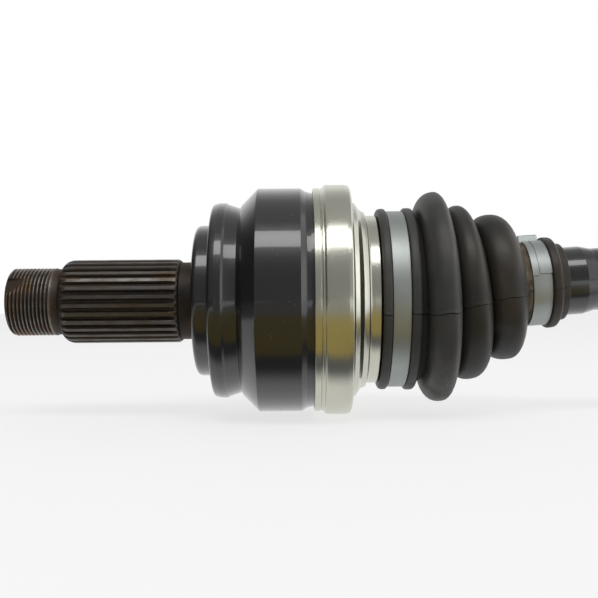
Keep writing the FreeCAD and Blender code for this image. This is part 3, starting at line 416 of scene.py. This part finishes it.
def thread_radius(angles, along):
    """The thread's radius at each angle, on a helix. It fades out at its last turn."""
    turn = (along / THREAD_PITCH + angles / (2 * math.pi)) % 1
    flank = np.clip((np.abs(turn - 0.5) - THREAD_CREST_SHARE) / THREAD_FLANK_SHARE, 0, 1)
    fade = min(max((THREAD_END - THREAD_FADE_END - along) / THREAD_FADE, 0), 1)
    return THREAD_RADIUS - THREAD_DEPTH * flank * fade


def bowed(start, end, bend, steps):
    """Points on an arc of radius bend from start to end, without start, that bulges outwards."""
    start, end = np.array(start, float), np.array(end, float)
    chord = end - start
    half = np.linalg.norm(chord) / 2
    outwards = np.array([-chord[1], chord[0]]) / (2 * half)
    centre = (start + end) / 2 - outwards * math.sqrt(bend ** 2 - half ** 2)
    spread = math.asin(half / bend)
    middle = math.atan2(outwards[1], outwards[0])
    angles = middle + spread - 2 * spread * np.arange(1, steps + 1) / steps
    return [tuple(centre + bend * np.array([math.cos(angle), math.sin(angle)])) for angle in angles]


def stub_rows():
    """The stub's envelope as (along, radius): close rows where the thread and the spline change."""
    rows = [(TIP + CENTRE_DEPTH, 0), (TIP + 0.15, CENTRE_RADIUS - 0.25), (TIP, CENTRE_RADIUS),
            (TIP, 11.9), (TIP + 0.12, THREAD_RADIUS - TIP_CHAMFER)]
    rows += [(along, THREAD_RADIUS - max(TIP + TIP_CHAMFER - along, 0))
             for along in np.arange(TIP + 0.3, THREAD_END - 0.01, THREAD_PITCH / THREAD_ROWS)]
    rows += [(THREAD_END, THREAD_RADIUS), (THREAD_END + 0.5, RELIEF_RADIUS), (RELIEF_END, RELIEF_RADIUS)]
    rows += bowed((RELIEF_END, RELIEF_RADIUS), (SPLINE_START, SPLINE_RADIUS), SPLINE_LEAD_BEND, 18)
    rows += [(along, SPLINE_RADIUS) for along in np.linspace(SPLINE_START + 0.3, SPLINE_END, 12)]
    rows += [(along, SPLINE_RADIUS) for along in np.linspace(SPLINE_END + 0.2, SPLINE_EDGE - 0.2, 12)]
    rows += bowed((SPLINE_EDGE - 0.2, SPLINE_RADIUS), (NECK_START, NECK_RADIUS), SPLINE_EDGE_BEND, 7)
    rows += [(NECK_START + 0.4, NECK_RADIUS - 0.05), (-NECK_FILLET, NECK_RADIUS)]
    for angle in np.linspace(0, math.pi / 2, 6)[1:-1]:
        rows.append((NECK_FILLET * (math.sin(angle) - 1),
                     NECK_RADIUS + NECK_FILLET * (1 - math.cos(angle))))
    return rows


SLOT_WALL = 9.4
SLOT_FACING = math.radians(37.4)
SLOT_FLOOR = 11.84
SLOT_RUN_OUT = 10.5


def stub_grid():
    """The stub's surface: envelope, thread, spline, and the slot that the nut's collar is staked into."""
    angles = tooth_angles()
    rows = stub_rows()
    grid = np.empty((len(rows), len(angles), 3))
    for index, (along, envelope) in enumerate(rows):
        radius = np.full(len(angles), float(envelope))
        if TIP + 0.2 < along < THREAD_END:
            radius = np.minimum(radius, thread_radius(angles, along))
        if along > RELIEF_END:
            radius = np.minimum(radius, tooth_radius(angles, along))
        grid[index, :, 0] = along
        grid[index, :, 1] = radius * np.cos(angles)
        grid[index, :, 2] = radius * np.sin(angles)
    normal = np.array([-math.cos(SLOT_FACING), math.sin(SLOT_FACING)])
    height = grid[:, :, 1:] @ normal
    depth = np.clip((grid[:, :, 0] - TIP) / SLOT_RUN_OUT, 0, 1)
    floor = SLOT_FLOOR + (THREAD_RADIUS + 0.1 - SLOT_FLOOR) * depth
    cut = np.where(grid[:, :, 2] < SLOT_WALL, np.maximum(height - floor, 0), 0)
    cut = np.where((grid[:, :, 1] < 0) & (grid[:, :, 0] < TIP + SLOT_RUN_OUT), cut, 0)
    grid[:, :, 1:] -= cut[:, :, None] * normal
    return grid


BELL_CORNERS = [
    (0, NECK_RADIUS + NECK_FILLET), (0, 30.1, 2.4), (6.8, 30.1, 0.5), (6.8, 38.4, 1.6), (9.6, 39.0, 0.5),
    (12.0, 39.0, 0.6), (12.9, 38.4, 0.4), (17.5, 36.9, 0.5), (18.2, 38.1, 0.4),
    (24.6, 44.6, 0.7), (41.3, 44.6, 0.3), (43.3, 43.3, 1.8), (45.3, 42.8, 2.0), (50.0, 42.8),
    (50.6, 44.6), (59.1, 44.6, 0.4), (59.1, 40.6, 0.4), (26, 40.4), (14, 24), (14, 0),
]
forging_grid = np.concatenate([stub_grid(), spun(BELL_CORNERS, tooth_angles(), False)])
forging = solid_from_grid("outboard_forging", forging_grid, False, ON_STUB)

PAINT_BLACK = (0.004, 0.0045, 0.0055)
PAINT_DUST = (0.12, 0.13, 0.14)
black_paint = Finish("gloss_black_paint", Roughness=0.3, Coat_Roughness=0.07, Coat_IOR=1.5)
at_paint = black_paint.place()
paint_dust = black_paint.noise(at_paint, 900, 2)
dust_specks = paint_dust.eased(0.68, 0.76)
paint_haze = black_paint.noise(at_paint, 40, 4)
black_paint.feed(
    Base_Color=black_paint.mix(dust_specks * 0.35, PAINT_BLACK, PAINT_DUST),
    Roughness=0.24 + paint_haze * 0.14,
    Coat_Weight=0.9 - dust_specks * 0.5,
)
black_paint.bump(black_paint.noise(at_paint, 260, 3), 0.10, 0.0004)

SPLINE_FROM = (-0.0565, -0.0535)
SPLINE_HEIGHTS = (0.0157, 0.01655)
THREAD_HEIGHTS = (0.0127, 0.01345)
RELIEF_FROM = (-0.0570, -0.0562)
RELIEF_TO = (-0.0528, -0.0512)
# The stub's colours: its tooth gaps and thread roots are painted dark as shade, over steel and rust, and
# its crests are lighter, in part a painted highlight.
GAP_SHADE_STEEL = (0.020, 0.016, 0.013)
GAP_SHADE_RUST = (0.060, 0.034, 0.018)
SPLINE_STEEL = (0.135, 0.127, 0.118)
SPLINE_RUST = (0.105, 0.085, 0.065)
THREAD_STEEL = (0.26, 0.25, 0.23)
THREAD_RUST = (0.22, 0.15, 0.09)
stub_steel = Finish("oiled_stub_steel", Roughness=0.42)
at_stub = stub_steel.place()
stub_along, stub_y, stub_z = stub_steel.parts_of(at_stub)
from_axis = (stub_y * stub_y + stub_z * stub_z).root()
on_spline = stub_along.eased(*SPLINE_FROM)
spline_ridge = from_axis.eased(*SPLINE_HEIGHTS)
thread_crest = from_axis.eased(*THREAD_HEIGHTS)
# The relief groove gets less of the crest colour: painted shade in the groove.
relief = stub_along.eased(*RELIEF_FROM) * (1 - stub_along.eased(*RELIEF_TO))
ridge = (on_spline * spline_ridge + (1 - on_spline) * thread_crest) * (1 - relief * 0.8)
rust = stub_steel.noise(at_stub, 130, 5, 0.65).eased(0.35, 0.72)
streaks = stub_steel.noise(stub_steel.place(scale=(0.12, 1, 1)), 900, 3)
gap_shade = stub_steel.mix(rust, GAP_SHADE_STEEL, GAP_SHADE_RUST)
spline_high = stub_steel.mix(rust, SPLINE_STEEL, SPLINE_RUST)
thread_high = stub_steel.mix(rust, THREAD_STEEL, THREAD_RUST)
high = stub_steel.mix(on_spline, thread_high, spline_high)
stub_steel.feed(
    Base_Color=stub_steel.mix(ridge * (0.45 + streaks * 0.8), gap_shade, high),
    Roughness=0.50 - ridge * 0.14 + rust * 0.12,
    Metallic=0.55 + ridge * 0.35,
)
stub_steel.bump(streaks, 0.25, 0.0002)

BARE_REACH = 0.0001
BARE_RADIUS = 0.0168
forging.data.materials.append(black_paint.material)
forging.data.materials.append(stub_steel.material)
for face in forging.data.polygons:
    bare = face.center.x < BARE_REACH and face.center.yz.length < BARE_RADIUS
    face.material_index = 1 if bare else 0
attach(forging, "outboard_housing")
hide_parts("outboard_outer_race")

# The collar can: one pressing of bright zinc-plated sheet. Its lip is rolled into the groove behind the
# bell's mouth, its band covers the mouth, and its stepped neck carries the boot.
CAN_CORNERS = [
    (46.2, 43.4), (46.2, 44.5, 0.4), (48.5, 44.5, 0.3), (48.9, 44.1, 0.3), (49.3, 44.5, 0.3),
    (50.0, 44.5, 0.3), (50.4, 45.5, 0.4), (51.6, 45.8), (58.4, 45.8, 0.2), (60.0, 45.5, 0.7),
    (60.7, 44.2, 0.6), (60.7, 39.6, 0.9), (62.7, 38.4, 1.3), (64.3, 35.9, 1.4), (65.5, 35.3, 0.4),
    (66.3, 35.0, 0.4), (66.7, 33.7, 0.5), (67.4, 33.5, 0.4), (70.9, 33.5, 0.5), (71.4, 31.9, 0.3),
    (87.4, 31.9, 0.4), (87.8, 31.2, 0.3), (87.4, 30.8), (70.6, 30.8), (70.0, 32.4), (66.3, 32.4, 1.0),
    (63.4, 35.1, 1.0), (61.7, 37.6, 1.0), (59.6, 39.2, 0.8), (59.6, 44.7), (50.2, 44.7), (49.6, 43.4),
]
can = turned("outboard_collar_can", CAN_CORNERS, ON_STUB, 256)

ZINC_LIGHT = (0.66, 0.66, 0.58)
ZINC_DARK = (0.52, 0.52, 0.44)
zinc = Finish("bright_zinc_sheet", Metallic=1.0, Roughness=0.2)
at_zinc = zinc.place()
zinc_cloud = zinc.noise(at_zinc, 55, 4)
spun_rings = zinc.noise(zinc.place(scale=(1, 0.03, 0.03)), 2600, 2)
zinc.feed(
    Base_Color=zinc.mix(zinc_cloud, ZINC_LIGHT, ZINC_DARK),
    Roughness=0.13 + zinc_cloud * 0.16 + spun_rings * 0.06,
)
zinc.bump(spun_rings + zinc_cloud * 2, 0.12, 0.0003)
can.data.materials.append(zinc.material)
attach(can, "outboard_housing")
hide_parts("outboard_collar_can")

# The boots: black rubber bellows with three round folds. The large end has two ribs with the clamp's groove
# between them, and the small end has a groove, a rib and a thin lip on the bar. A fine moulding seam runs
# along each side. The outboard boot is bent with its joint, so its folds fan out.
OUTBOARD_BOOT_REACH = 31.0
INBOARD_BOOT_REACH = 36.5
BOOT_WALL = 2.2
VALLEYS = [(16.4, 32.2), (28.8, 28.2), (41.0, 22.8)]
CRESTS = [(23.6, 41.9), (34.3, 34.9), (48.5, 29.3)]
THROAT = (56.0, 17.4)
BOOT_NECK = 59.3
SEAM_HEIGHT = 0.30
SEAM_ABOVE = 0.75
SEAM_BELOW = 0.26
SEAM_ANGLE = math.radians(8.5)
SEAM_REACH = 1.4
SEAM_COLUMNS = 23
SEAM_SHADE_COLUMNS = 3
SEAM_WANDER = [(0.010, 0.5), (0.003, 1.3)]
PLAIN_COLUMNS = 118
INBOARD_WAIST = 31.2
MEETING_WALL = 1.2
FOLD_FULLNESS = 0.86
LEAN_REACHES = [14.6, 16.6, 23.6, 28.8, 34.3, 41.0, 48.5, 57.2, 59.3]
LEAN_SHARES = [0.0, 0.45, 0.62, 0.65, 1.35, 1.90, 2.35, 1.30, 1.0]
FOLD_STEPS = 18


def fold(start, crest, end):
    """A fat round fold from valley to valley, as (reach, radius)."""
    points = []
    for index in range(1, FOLD_STEPS):
        share = index / FOLD_STEPS
        valley, across = (start, share * 2) if share <= 0.5 else (end, (1 - share) * 2)
        swing = across * math.pi / 2
        points.append((valley[0] + (crest[0] - valley[0]) * (1 - math.cos(swing) ** FOLD_FULLNESS),
                       valley[1] + (crest[1] - valley[1]) * math.sin(swing) ** FOLD_FULLNESS))
    return points


LARGE_END = [
    (0, 32.2), (0, 36.2, 1.6), (3.2, 36.2, 1.6), (3.3, 34.35), (10.3, 34.35), (10.4, 36.4, 1.6),
    (13.8, 36.4, 1.6), (14.5, 33.6, 0.6), VALLEYS[0],
]
SMALL_END = [
    THROAT, (56.7, 16.5, 0.3), (BOOT_NECK, 16.4), (67.1, 16.1), (67.1, 18.3, 0.9), (70.8, 18.1, 1.6),
    (71.4, 15.6, 0.4), (74.3, 15.3, 0.5), (74.3, 14.0), (BOOT_NECK, 14.0), (57.6, 14.6),
]


def boot_section(front, waist):
    """The outside and inside of one half of a boot. The halves meet at the second valley, its waist."""
    first, _, third = VALLEYS
    second = (VALLEYS[1][0], waist)
    inner = [(reach, radius - BOOT_WALL) for reach, radius in
             (first, CRESTS[0], second, CRESTS[1], third, CRESTS[2])]
    inner[2] = (second[0], waist - MEETING_WALL)
    if front:
        outside = rounded(LARGE_END, closed=False) + fold(first, CRESTS[0], second) + [second]
        return outside, [inner[2], inner[1], inner[0]]
    outside = [second] + fold(second, CRESTS[1], third) + [third] + fold(third, CRESTS[2], THROAT)
    outside += rounded(SMALL_END, closed=False)
    return outside, [inner[5], inner[4], inner[3], inner[2]]


def boot_ring(reach, tilt, boot_reach):
    """The centre of a boot's section and how far it leans, where the bar stands at a tilt."""
    share = (reach - VALLEYS[0][0]) / (BOOT_NECK - VALLEYS[0][0])
    share = min(max(share, 0.0), 1.0)
    eased = share * share * (3 - 2 * share)
    lean = tilt * np.interp(reach, LEAN_REACHES, LEAN_SHARES)
    along = boot_reach + reach
    height = along * math.sin(math.pi / 2 * share) * math.sin(tilt)
    return along * (1 + eased * (math.cos(tilt) - 1)), height, lean


def boot_columns():
    """Angles round half a boot, close together at the seam, from the seam's middle."""
    seam = SEAM_REACH / CRESTS[0][1]
    close = np.linspace(-seam, seam, SEAM_COLUMNS)
    return np.concatenate([close, np.linspace(seam, math.pi - seam, PLAIN_COLUMNS + 2)[1:-1]])


def boot_half(name, front, waist, tilt, boot_reach, place):
    """One half of a boot, with the moulding seam on both sides and a strip of painted seam shade below
    each.
    """
    outside, inside = boot_section(front, waist)
    half_turn = boot_columns()
    angles = np.concatenate([half_turn, half_turn + math.pi])
    from_seam = np.where(half_turn > math.pi / 2, half_turn - math.pi, half_turn)
    seam_angle = np.concatenate([from_seam, from_seam])
    grid = np.empty((len(outside) + len(inside), len(angles), 3))
    for index, (reach, radius) in enumerate(outside + inside):
        centre, height, lean = boot_ring(reach, tilt, boot_reach)
        rise = 0.0
        if index < len(outside):
            slope = np.where(seam_angle < 0, SEAM_ABOVE, SEAM_BELOW)
            rise = SEAM_HEIGHT * np.exp(-(seam_angle * radius / slope) ** 2)
        at = angles + SEAM_ANGLE + sum(size * math.sin(reach * rate) for size, rate in SEAM_WANDER)
        around = (radius + rise) * np.cos(at)
        up = (radius + rise) * np.sin(at)
        grid[index, :, 0] = centre - up * math.sin(lean)
        grid[index, :, 1] = around
        grid[index, :, 2] = height + up * math.cos(lean)
    half = solid_from_grid(name, grid, True, place)
    # The faces just below the seam's ridge get the painted seam shade.
    first_shaded = SEAM_COLUMNS // 2 + 1
    shaded_columns = range(first_shaded, first_shaded + SEAM_SHADE_COLUMNS)
    for face in half.data.polygons:
        row, column = divmod(face.index, len(angles))
        shaded = column % len(half_turn) in shaded_columns and row < len(outside) - 1
        face.material_index = 2 if shaded else 0
    return half


RUBBER_BLACK = (0.015, 0.0145, 0.013)
RUBBER_BROWN = (0.033, 0.027, 0.020)
DUSTY_BLACK = (0.038, 0.039, 0.037)
DUSTY_BROWN = (0.056, 0.053, 0.047)
DUSTY_TO = (0.098, 0.106)
DUST_COLOUR = (0.12, 0.11, 0.095)
GRIT_COLOUR = (0.20, 0.19, 0.16)
GRIT_BELOW = (-0.012, -0.034)
rubber = Finish("boot_rubber", Roughness=0.6, Specular_IOR_Level=0.34)
at_rubber = rubber.place()
rubber_along, _, rubber_height = rubber.parts_of(at_rubber)
rubber_dust = rubber.noise(at_rubber, 70, 5, 0.6).eased(0.5, 0.78)
fine_dust = rubber.noise(at_rubber, 700, 3)
bloom = rubber.noise(at_rubber, 24, 3).eased(0.42, 0.68)
grit = rubber.noise(at_rubber, 1300, 2).eased(0.62, 0.72) * rubber_height.eased(*GRIT_BELOW)
rubber_base = rubber.mix(bloom, RUBBER_BLACK, RUBBER_BROWN)
dusty_base = rubber.mix(bloom, DUSTY_BLACK, DUSTY_BROWN)
rubber_base = rubber.mix(rubber_along.eased(*DUSTY_TO), dusty_base, rubber_base)
rubber_base = rubber.mix(rubber_dust * 0.45 * fine_dust, rubber_base, DUST_COLOUR)
rubber.feed(
    Base_Color=rubber.mix(grit * 0.55, rubber_base, GRIT_COLOUR),
    Roughness=0.46 + rubber_dust * 0.20 + fine_dust * 0.06 - bloom * 0.08,
)
rubber.bump(fine_dust + grit, 0.14, 0.0003)

DARK_DIRT = (0.030, 0.024, 0.016)
LIGHT_DIRT = (0.18, 0.14, 0.085)
dirty_rubber = Finish("dirty_boot_neck", Roughness=0.8)
dirt = dirty_rubber.noise(dirty_rubber.place(scale=(1, 0.35, 0.35)), 420, 4, 0.65)
dirt_share = dirt.eased(0.34, 0.66)
dirty_rubber.feed(
    Base_Color=dirty_rubber.mix(dirt_share, DARK_DIRT, LIGHT_DIRT),
    Roughness=0.7 + dirt_share * 0.2,
)
dirty_rubber.bump(dirt, 0.5, 0.0004)

# Painted shade: a dark strip of faces under each moulding seam that stands in for the seam's shadow.
SEAM_SHADE_BLACK = (0.002, 0.002, 0.002)
SEAM_SHADE_GREY = (0.010, 0.009, 0.008)
seam_painted_shade = Finish("boot_seam_shade", Roughness=0.7, Specular_IOR_Level=0.2)
seam_shade_noise = seam_painted_shade.noise(seam_painted_shade.place(), 500, 3)
seam_painted_shade.feed(Base_Color=seam_painted_shade.mix(seam_shade_noise, SEAM_SHADE_BLACK, SEAM_SHADE_GREY))
seam_painted_shade.bump(seam_shade_noise, 0.2, 0.0002)

FRONT_BEND_START = 15.0
FRONT_BEND_MARGIN = 1.5
BACK_BEND_MARGIN = 2.0
DIRTY_START = THROAT[0] + 0.2
DIRTY_END = BOOT_NECK + 0.4
DIRTY_RADIUS = 17.2


def fit_boot(prefix, waist, tilt, boot_reach, place):
    """Both halves of a boot, built in place with their finishes."""
    def at(reach):
        centre, height, _ = boot_ring(reach, tilt, boot_reach)
        return place @ Vector((centre * MM, 0, height * MM))

    middle = VALLEYS[1][0]
    front = boot_half(prefix + "_boot_front", True, waist, tilt, boot_reach, place)
    back = boot_half(prefix + "_boot_back", False, waist, tilt, boot_reach, place)
    for half in (front, back):
        for finish in (rubber, dirty_rubber, seam_painted_shade):
            half.data.materials.append(finish.material)
        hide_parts(prefix + "_boot")
    at(FRONT_BEND_START)
    at(middle - FRONT_BEND_MARGIN)
    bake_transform(front)
    at(middle + BACK_BEND_MARGIN)
    at(THROAT[0])
    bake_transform(back)
    return back


OUTBOARD_FACING = Matrix.Translation(outboard_centre)
INBOARD_FACING = ON_INBOARD @ Matrix.Rotation(math.pi, 4, "Z")
outboard_back = fit_boot("outboard", VALLEYS[1][1], REST_TILT, OUTBOARD_BOOT_REACH, OUTBOARD_FACING)
fit_boot("inboard", INBOARD_WAIST, 0.0, INBOARD_BOOT_REACH, INBOARD_FACING)
to_bar = ON_BAR.inverted()
for face in outboard_back.data.polygons:
    on_bar = (to_bar @ face.center) / MM
    reach = on_bar.x - OUTBOARD_BOOT_REACH
    if DIRTY_START < reach < DIRTY_END and on_bar.yz.length < DIRTY_RADIUS:
        face.material_index = 1

# The boot clamps: bands of satin stainless strip, each closed by a crimped ear that stands off the band.
# The small one's tongue shows as a slit near its edge.
BAND_THICKNESS = 0.8
CLAMP_GAP = 0.15
LARGE_CLAMP_RADIUS = 34.4
LARGE_CLAMP_START = 3.3 + CLAMP_GAP
LARGE_CLAMP_WIDTH = 7.0 - 2 * CLAMP_GAP
LARGE_EAR_DEGREES = -120
SMALL_CLAMP_RADIUS = 16.15
SMALL_CLAMP_START = BOOT_NECK + CLAMP_GAP
SMALL_CLAMP_WIDTH = 7.8 - 2 * CLAMP_GAP
SMALL_EAR_DEGREES = -15
INBOARD_SMALL_EAR_DEGREES = -24
EAR_FOOT = 3.2
EAR_TOP = EAR_FOOT * 0.86
EAR_RISE = 2.9
EAR_SINK = 0.3
TONGUE_RISE = 0.3
TONGUE_SINK = 0.2
TONGUE_MARGIN = 2.3
TONGUE_SLIT = 0.45
TONGUE_START_DEGREES = 8
TONGUE_END_DEGREES = 80
TONGUE_STAGGER_DEGREES = 2
TONGUE_STEPS = 28


def closed_strip(builder, rings, place):
    """Joins outlines one after another into a closed strip, with a cap at each end."""
    made = [[builder.verts.new(place @ (Vector(point) * MM)) for point in ring] for ring in rings]
    count = len(made[0])
    for near, far in zip(made, made[1:]):
        for index in range(count):
            beside = (index + 1) % count
            builder.faces.new((near[index], near[beside], far[beside], far[index]))
    builder.faces.new(list(reversed(made[0])))
    builder.faces.new(made[-1])


def tongue_rings(start, end, outer, last_degrees):
    """The outlines of a thin strip that lies on the band, from the tongue's start to an angle."""
    low = outer - TONGUE_SINK
    high = outer + TONGUE_RISE
    corners = [(start, low), (start, high), (end, high), (end, low)]
    return [[(along, -radius * math.sin(angle), radius * math.cos(angle)) for along, radius in corners]
            for angle in np.radians(np.linspace(TONGUE_START_DEGREES, last_degrees, TONGUE_STEPS))]


def band_clamp(name, place, start, width, inner, ear_degrees, body):
    """A clamp: a rounded strip round the axis, with an ear of the same strip. A small one has a tongue."""
    outer = inner + BAND_THICKNESS
    corners = [(start, inner), (start, outer, 0.25), (start + width, outer, 0.25), (start + width, inner)]
    clamp = turned(name, corners, place, 240)
    ear_angle = math.radians(90 + ear_degrees)
    foot = outer - EAR_SINK
    crown = outer + EAR_RISE
    points = rounded([
        (-EAR_FOOT, foot), (-EAR_TOP, crown, 0.9), (EAR_TOP, crown, 0.9), (EAR_FOOT, foot),
        (EAR_FOOT - BAND_THICKNESS, foot), (EAR_TOP - BAND_THICKNESS, crown - BAND_THICKNESS, 0.4),
        (BAND_THICKNESS - EAR_TOP, crown - BAND_THICKNESS, 0.4), (BAND_THICKNESS - EAR_FOOT, foot),
    ])
    builder = bmesh.new()
    builder.from_mesh(clamp.data)
    ear = [[(along, up * math.cos(ear_angle) + across * math.sin(ear_angle),
             up * math.sin(ear_angle) - across * math.cos(ear_angle)) for across, up in points]
           for along in (start, start + width)]
    closed_strip(builder, ear, place)
    if inner == SMALL_CLAMP_RADIUS:
        edge = start + TONGUE_MARGIN
        narrow = tongue_rings(start, edge, outer, TONGUE_END_DEGREES)
        wide = tongue_rings(edge + TONGUE_SLIT, start + width, outer,
                            TONGUE_END_DEGREES - TONGUE_STAGGER_DEGREES)
        closed_strip(builder, narrow, place)
        closed_strip(builder, wide, place)
    bmesh.ops.recalc_face_normals(builder, faces=builder.faces)
    builder.to_mesh(clamp.data)
    builder.free()
    clamp.data.shade_smooth()
    clamp.data.set_sharp_from_angle(angle=SMOOTH_LIMIT)
    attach(clamp, body)
    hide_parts(name)
    clamp.data.materials.append(clamp_steel.material)


CLAMP_DARK = (0.32, 0.345, 0.335)
CLAMP_LIGHT = (0.42, 0.445, 0.43)
clamp_steel = Finish("satin_clamp_steel", Metallic=0.9, Roughness=0.5)
at_clamp = clamp_steel.place()
rolled = clamp_steel.noise(clamp_steel.place(scale=(1, 0.08, 0.08)), 2400, 3)
clamp_cloud = clamp_steel.noise(at_clamp, 90, 3)
clamp_steel.feed(
    Base_Color=clamp_steel.mix(clamp_cloud, CLAMP_DARK, CLAMP_LIGHT),
    Roughness=0.42 + rolled * 0.16,
)
clamp_steel.bump(rolled, 0.08, 0.0002)

band_clamp("outboard_large_clamp", OUTBOARD_FACING, OUTBOARD_BOOT_REACH + LARGE_CLAMP_START,
           LARGE_CLAMP_WIDTH, LARGE_CLAMP_RADIUS, LARGE_EAR_DEGREES, "outboard_housing")
band_clamp("outboard_small_clamp", ON_BAR, OUTBOARD_BOOT_REACH + SMALL_CLAMP_START,
           SMALL_CLAMP_WIDTH, SMALL_CLAMP_RADIUS, SMALL_EAR_DEGREES, "shaft")
band_clamp("inboard_large_clamp", ON_INBOARD,
           -INBOARD_BOOT_REACH - LARGE_CLAMP_START - LARGE_CLAMP_WIDTH,
           LARGE_CLAMP_WIDTH, LARGE_CLAMP_RADIUS, LARGE_EAR_DEGREES, "inboard_housing")
band_clamp("inboard_small_clamp", ON_INBOARD,
           -INBOARD_BOOT_REACH - SMALL_CLAMP_START - SMALL_CLAMP_WIDTH,
           SMALL_CLAMP_WIDTH, SMALL_CLAMP_RADIUS, INBOARD_SMALL_EAR_DEGREES, "shaft")

# The bar: a solid forged bar in gloss black, thicker under each boot's small end and at the collar against
# each inner race, with a splined end for each race.
SEAT_START = BOOT_NECK - 4.0
SEAT_END = BOOT_NECK + 22.6


def bar_side(boot_reach, sign, origin):
    """One half of the bar's outline, from its end to past the boot's seat."""
    half = [
        (-15.2, 0), (-15.2, 12.1, 0.2), (-14.3, 13.0, 0.2), (-13.72, 13.0), (-13.72, 11.3), (-12.03, 11.3),
        (-12.03, 13.0), (-12.0, 11.95), (12.0, 11.95), (12.06, 13.0), (13.5, 14.4, 0.6), (20.1, 14.4, 1.0),
        (24.1, 12.5, 4.0), (boot_reach + SEAT_START - 4, 12.5, 3.0), (boot_reach + SEAT_START, 13.7, 2.0),
        (boot_reach + SEAT_END, 13.7, 1.5), (boot_reach + SEAT_END + 5, 12.5, 5.0),
    ]
    return [(origin + sign * corner[0], *corner[1:]) for corner in half]


bar_corners = bar_side(OUTBOARD_BOOT_REACH, 1, 0)
bar_corners += list(reversed(bar_side(INBOARD_BOOT_REACH, -1, BAR_LENGTH)))
bar = turned("axle_bar", bar_corners, ON_BAR, 160, closed=False)
bar.data.materials.append(black_paint.material)
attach(bar, "shaft")
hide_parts("axle_bar")

# The inboard joint's outer ring: turned and ground steel, with six bolt holes between its ball tracks. It
# is bolted to the differential's output flange.
def dress(finish, *node_names):
    """Gives a finish to pieces that keep the mesh they have in the frame."""
    for node_name in node_names:
        node_mesh = frame["nodes"][node_name].data
        node_mesh.materials.clear()
        node_mesh.materials.append(finish.material)


RING_PLACE = (tuple(inboard_centre), REST_TILT)
RING_DARK = (0.40, 0.39, 0.37)
RING_LIGHT = (0.52, 0.51, 0.50)
ring_steel = Finish("turned_ring_steel", Metallic=1.0, Roughness=0.35)
at_ring = ring_steel.place(*RING_PLACE)
turning_marks = ring_steel.noise(ring_steel.place(*RING_PLACE, (1, 0.02, 0.02)), 3000, 2)
ring_cloud = ring_steel.noise(at_ring, 60, 4)
ring_steel.feed(
    Base_Color=ring_steel.mix(ring_cloud, RING_DARK, RING_LIGHT),
    Roughness=0.28 + turning_marks * 0.16,
)
ring_steel.bump(turning_marks, 0.15, 0.0002)
dress(ring_steel, "inboard_outer_race")

# The inboard joint's end cap and the flanged neck that carries its boot: pressed from the same zinc-plated
# sheet as the collar can, one on each face of the ring.
dress(zinc, "inboard_end_cap", "inboard_boot_adapter")

# The gaskets under the end cap and the flanged neck, and the seal between the collar can and the bell's
# mouth: dark fibre cut flat, squeezed between the metal faces.
FIBRE_BLACK = (0.05, 0.05, 0.05)
FIBRE_GREY = (0.14, 0.13, 0.12)
gasket_fibre = Finish("gasket_fibre", Roughness=0.8)
at_gasket = gasket_fibre.place()
fibre = gasket_fibre.noise(at_gasket, 1500, 3)
gasket_fibre.feed(Base_Color=gasket_fibre.mix(fibre, FIBRE_BLACK, FIBRE_GREY), Roughness=0.7 + fibre * 0.2)
gasket_fibre.bump(fibre, 0.3, 0.0002)
dress(gasket_fibre, "inboard_cap_gasket", "inboard_adapter_gasket", "outboard_can_seal")

# The inner races and the ball cages: hardened steel with ground faces and a dark film of grease in places.
# Each inner race sits on a splined end of the bar, and its cage fits round it.
GROUND_STEEL = (0.5, 0.49, 0.47)
GREASE_FILM = (0.22, 0.2, 0.17)
race_steel = Finish("ground_race_steel", Metallic=1.0, Roughness=0.3)
at_race = race_steel.place()
grinding = race_steel.noise(race_steel.place(scale=(1, 0.1, 0.1)), 2000, 3)
grease = race_steel.noise(at_race, 120, 4).eased(0.45, 0.7)
race_steel.feed(
    Base_Color=race_steel.mix(grease, GROUND_STEEL, GREASE_FILM),
    Roughness=0.22 + grinding * 0.14 + grease * 0.15,
)
race_steel.bump(grinding, 0.1, 0.0002)
dress(race_steel, "outboard_inner_race", "inboard_inner_race", "outboard_cage", "inboard_cage")

# The balls, six to a joint: hardened steel, ground and polished, with a thin film of grease. They run in
# the races' tracks, and the cage's windows keep them in one plane.
BALL_STEEL = (0.72, 0.72, 0.73)
BALL_GREASE = (0.6, 0.58, 0.54)
ball_steel = Finish("polished_ball_steel", Metallic=1.0, Roughness=0.06)
at_ball = ball_steel.place()
ball_film = ball_steel.noise(at_ball, 200, 3)
ball_steel.feed(
    Base_Color=ball_steel.mix(ball_film, BALL_STEEL, BALL_GREASE),
    Roughness=0.05 + ball_film * 0.08,
)
dress(ball_steel, *[name for name in frame["nodes"] if "_ball_" in name])

# The circlips: rings of oiled spring steel, one in the bar's groove at each inner race, so that the race
# can't slide off.
SPRING_DARK = (0.06, 0.06, 0.065)
SPRING_LIGHT = (0.14, 0.13, 0.13)
spring_steel = Finish("oiled_spring_steel", Metallic=0.9, Roughness=0.4)
at_spring = spring_steel.place()
spring_film = spring_steel.noise(at_spring, 400, 3)
spring_steel.feed(
    Base_Color=spring_steel.mix(spring_film, SPRING_DARK, SPRING_LIGHT),
    Roughness=0.34 + spring_film * 0.15,
)
dress(spring_steel, "outboard_circlip", "inboard_circlip")

low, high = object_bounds()
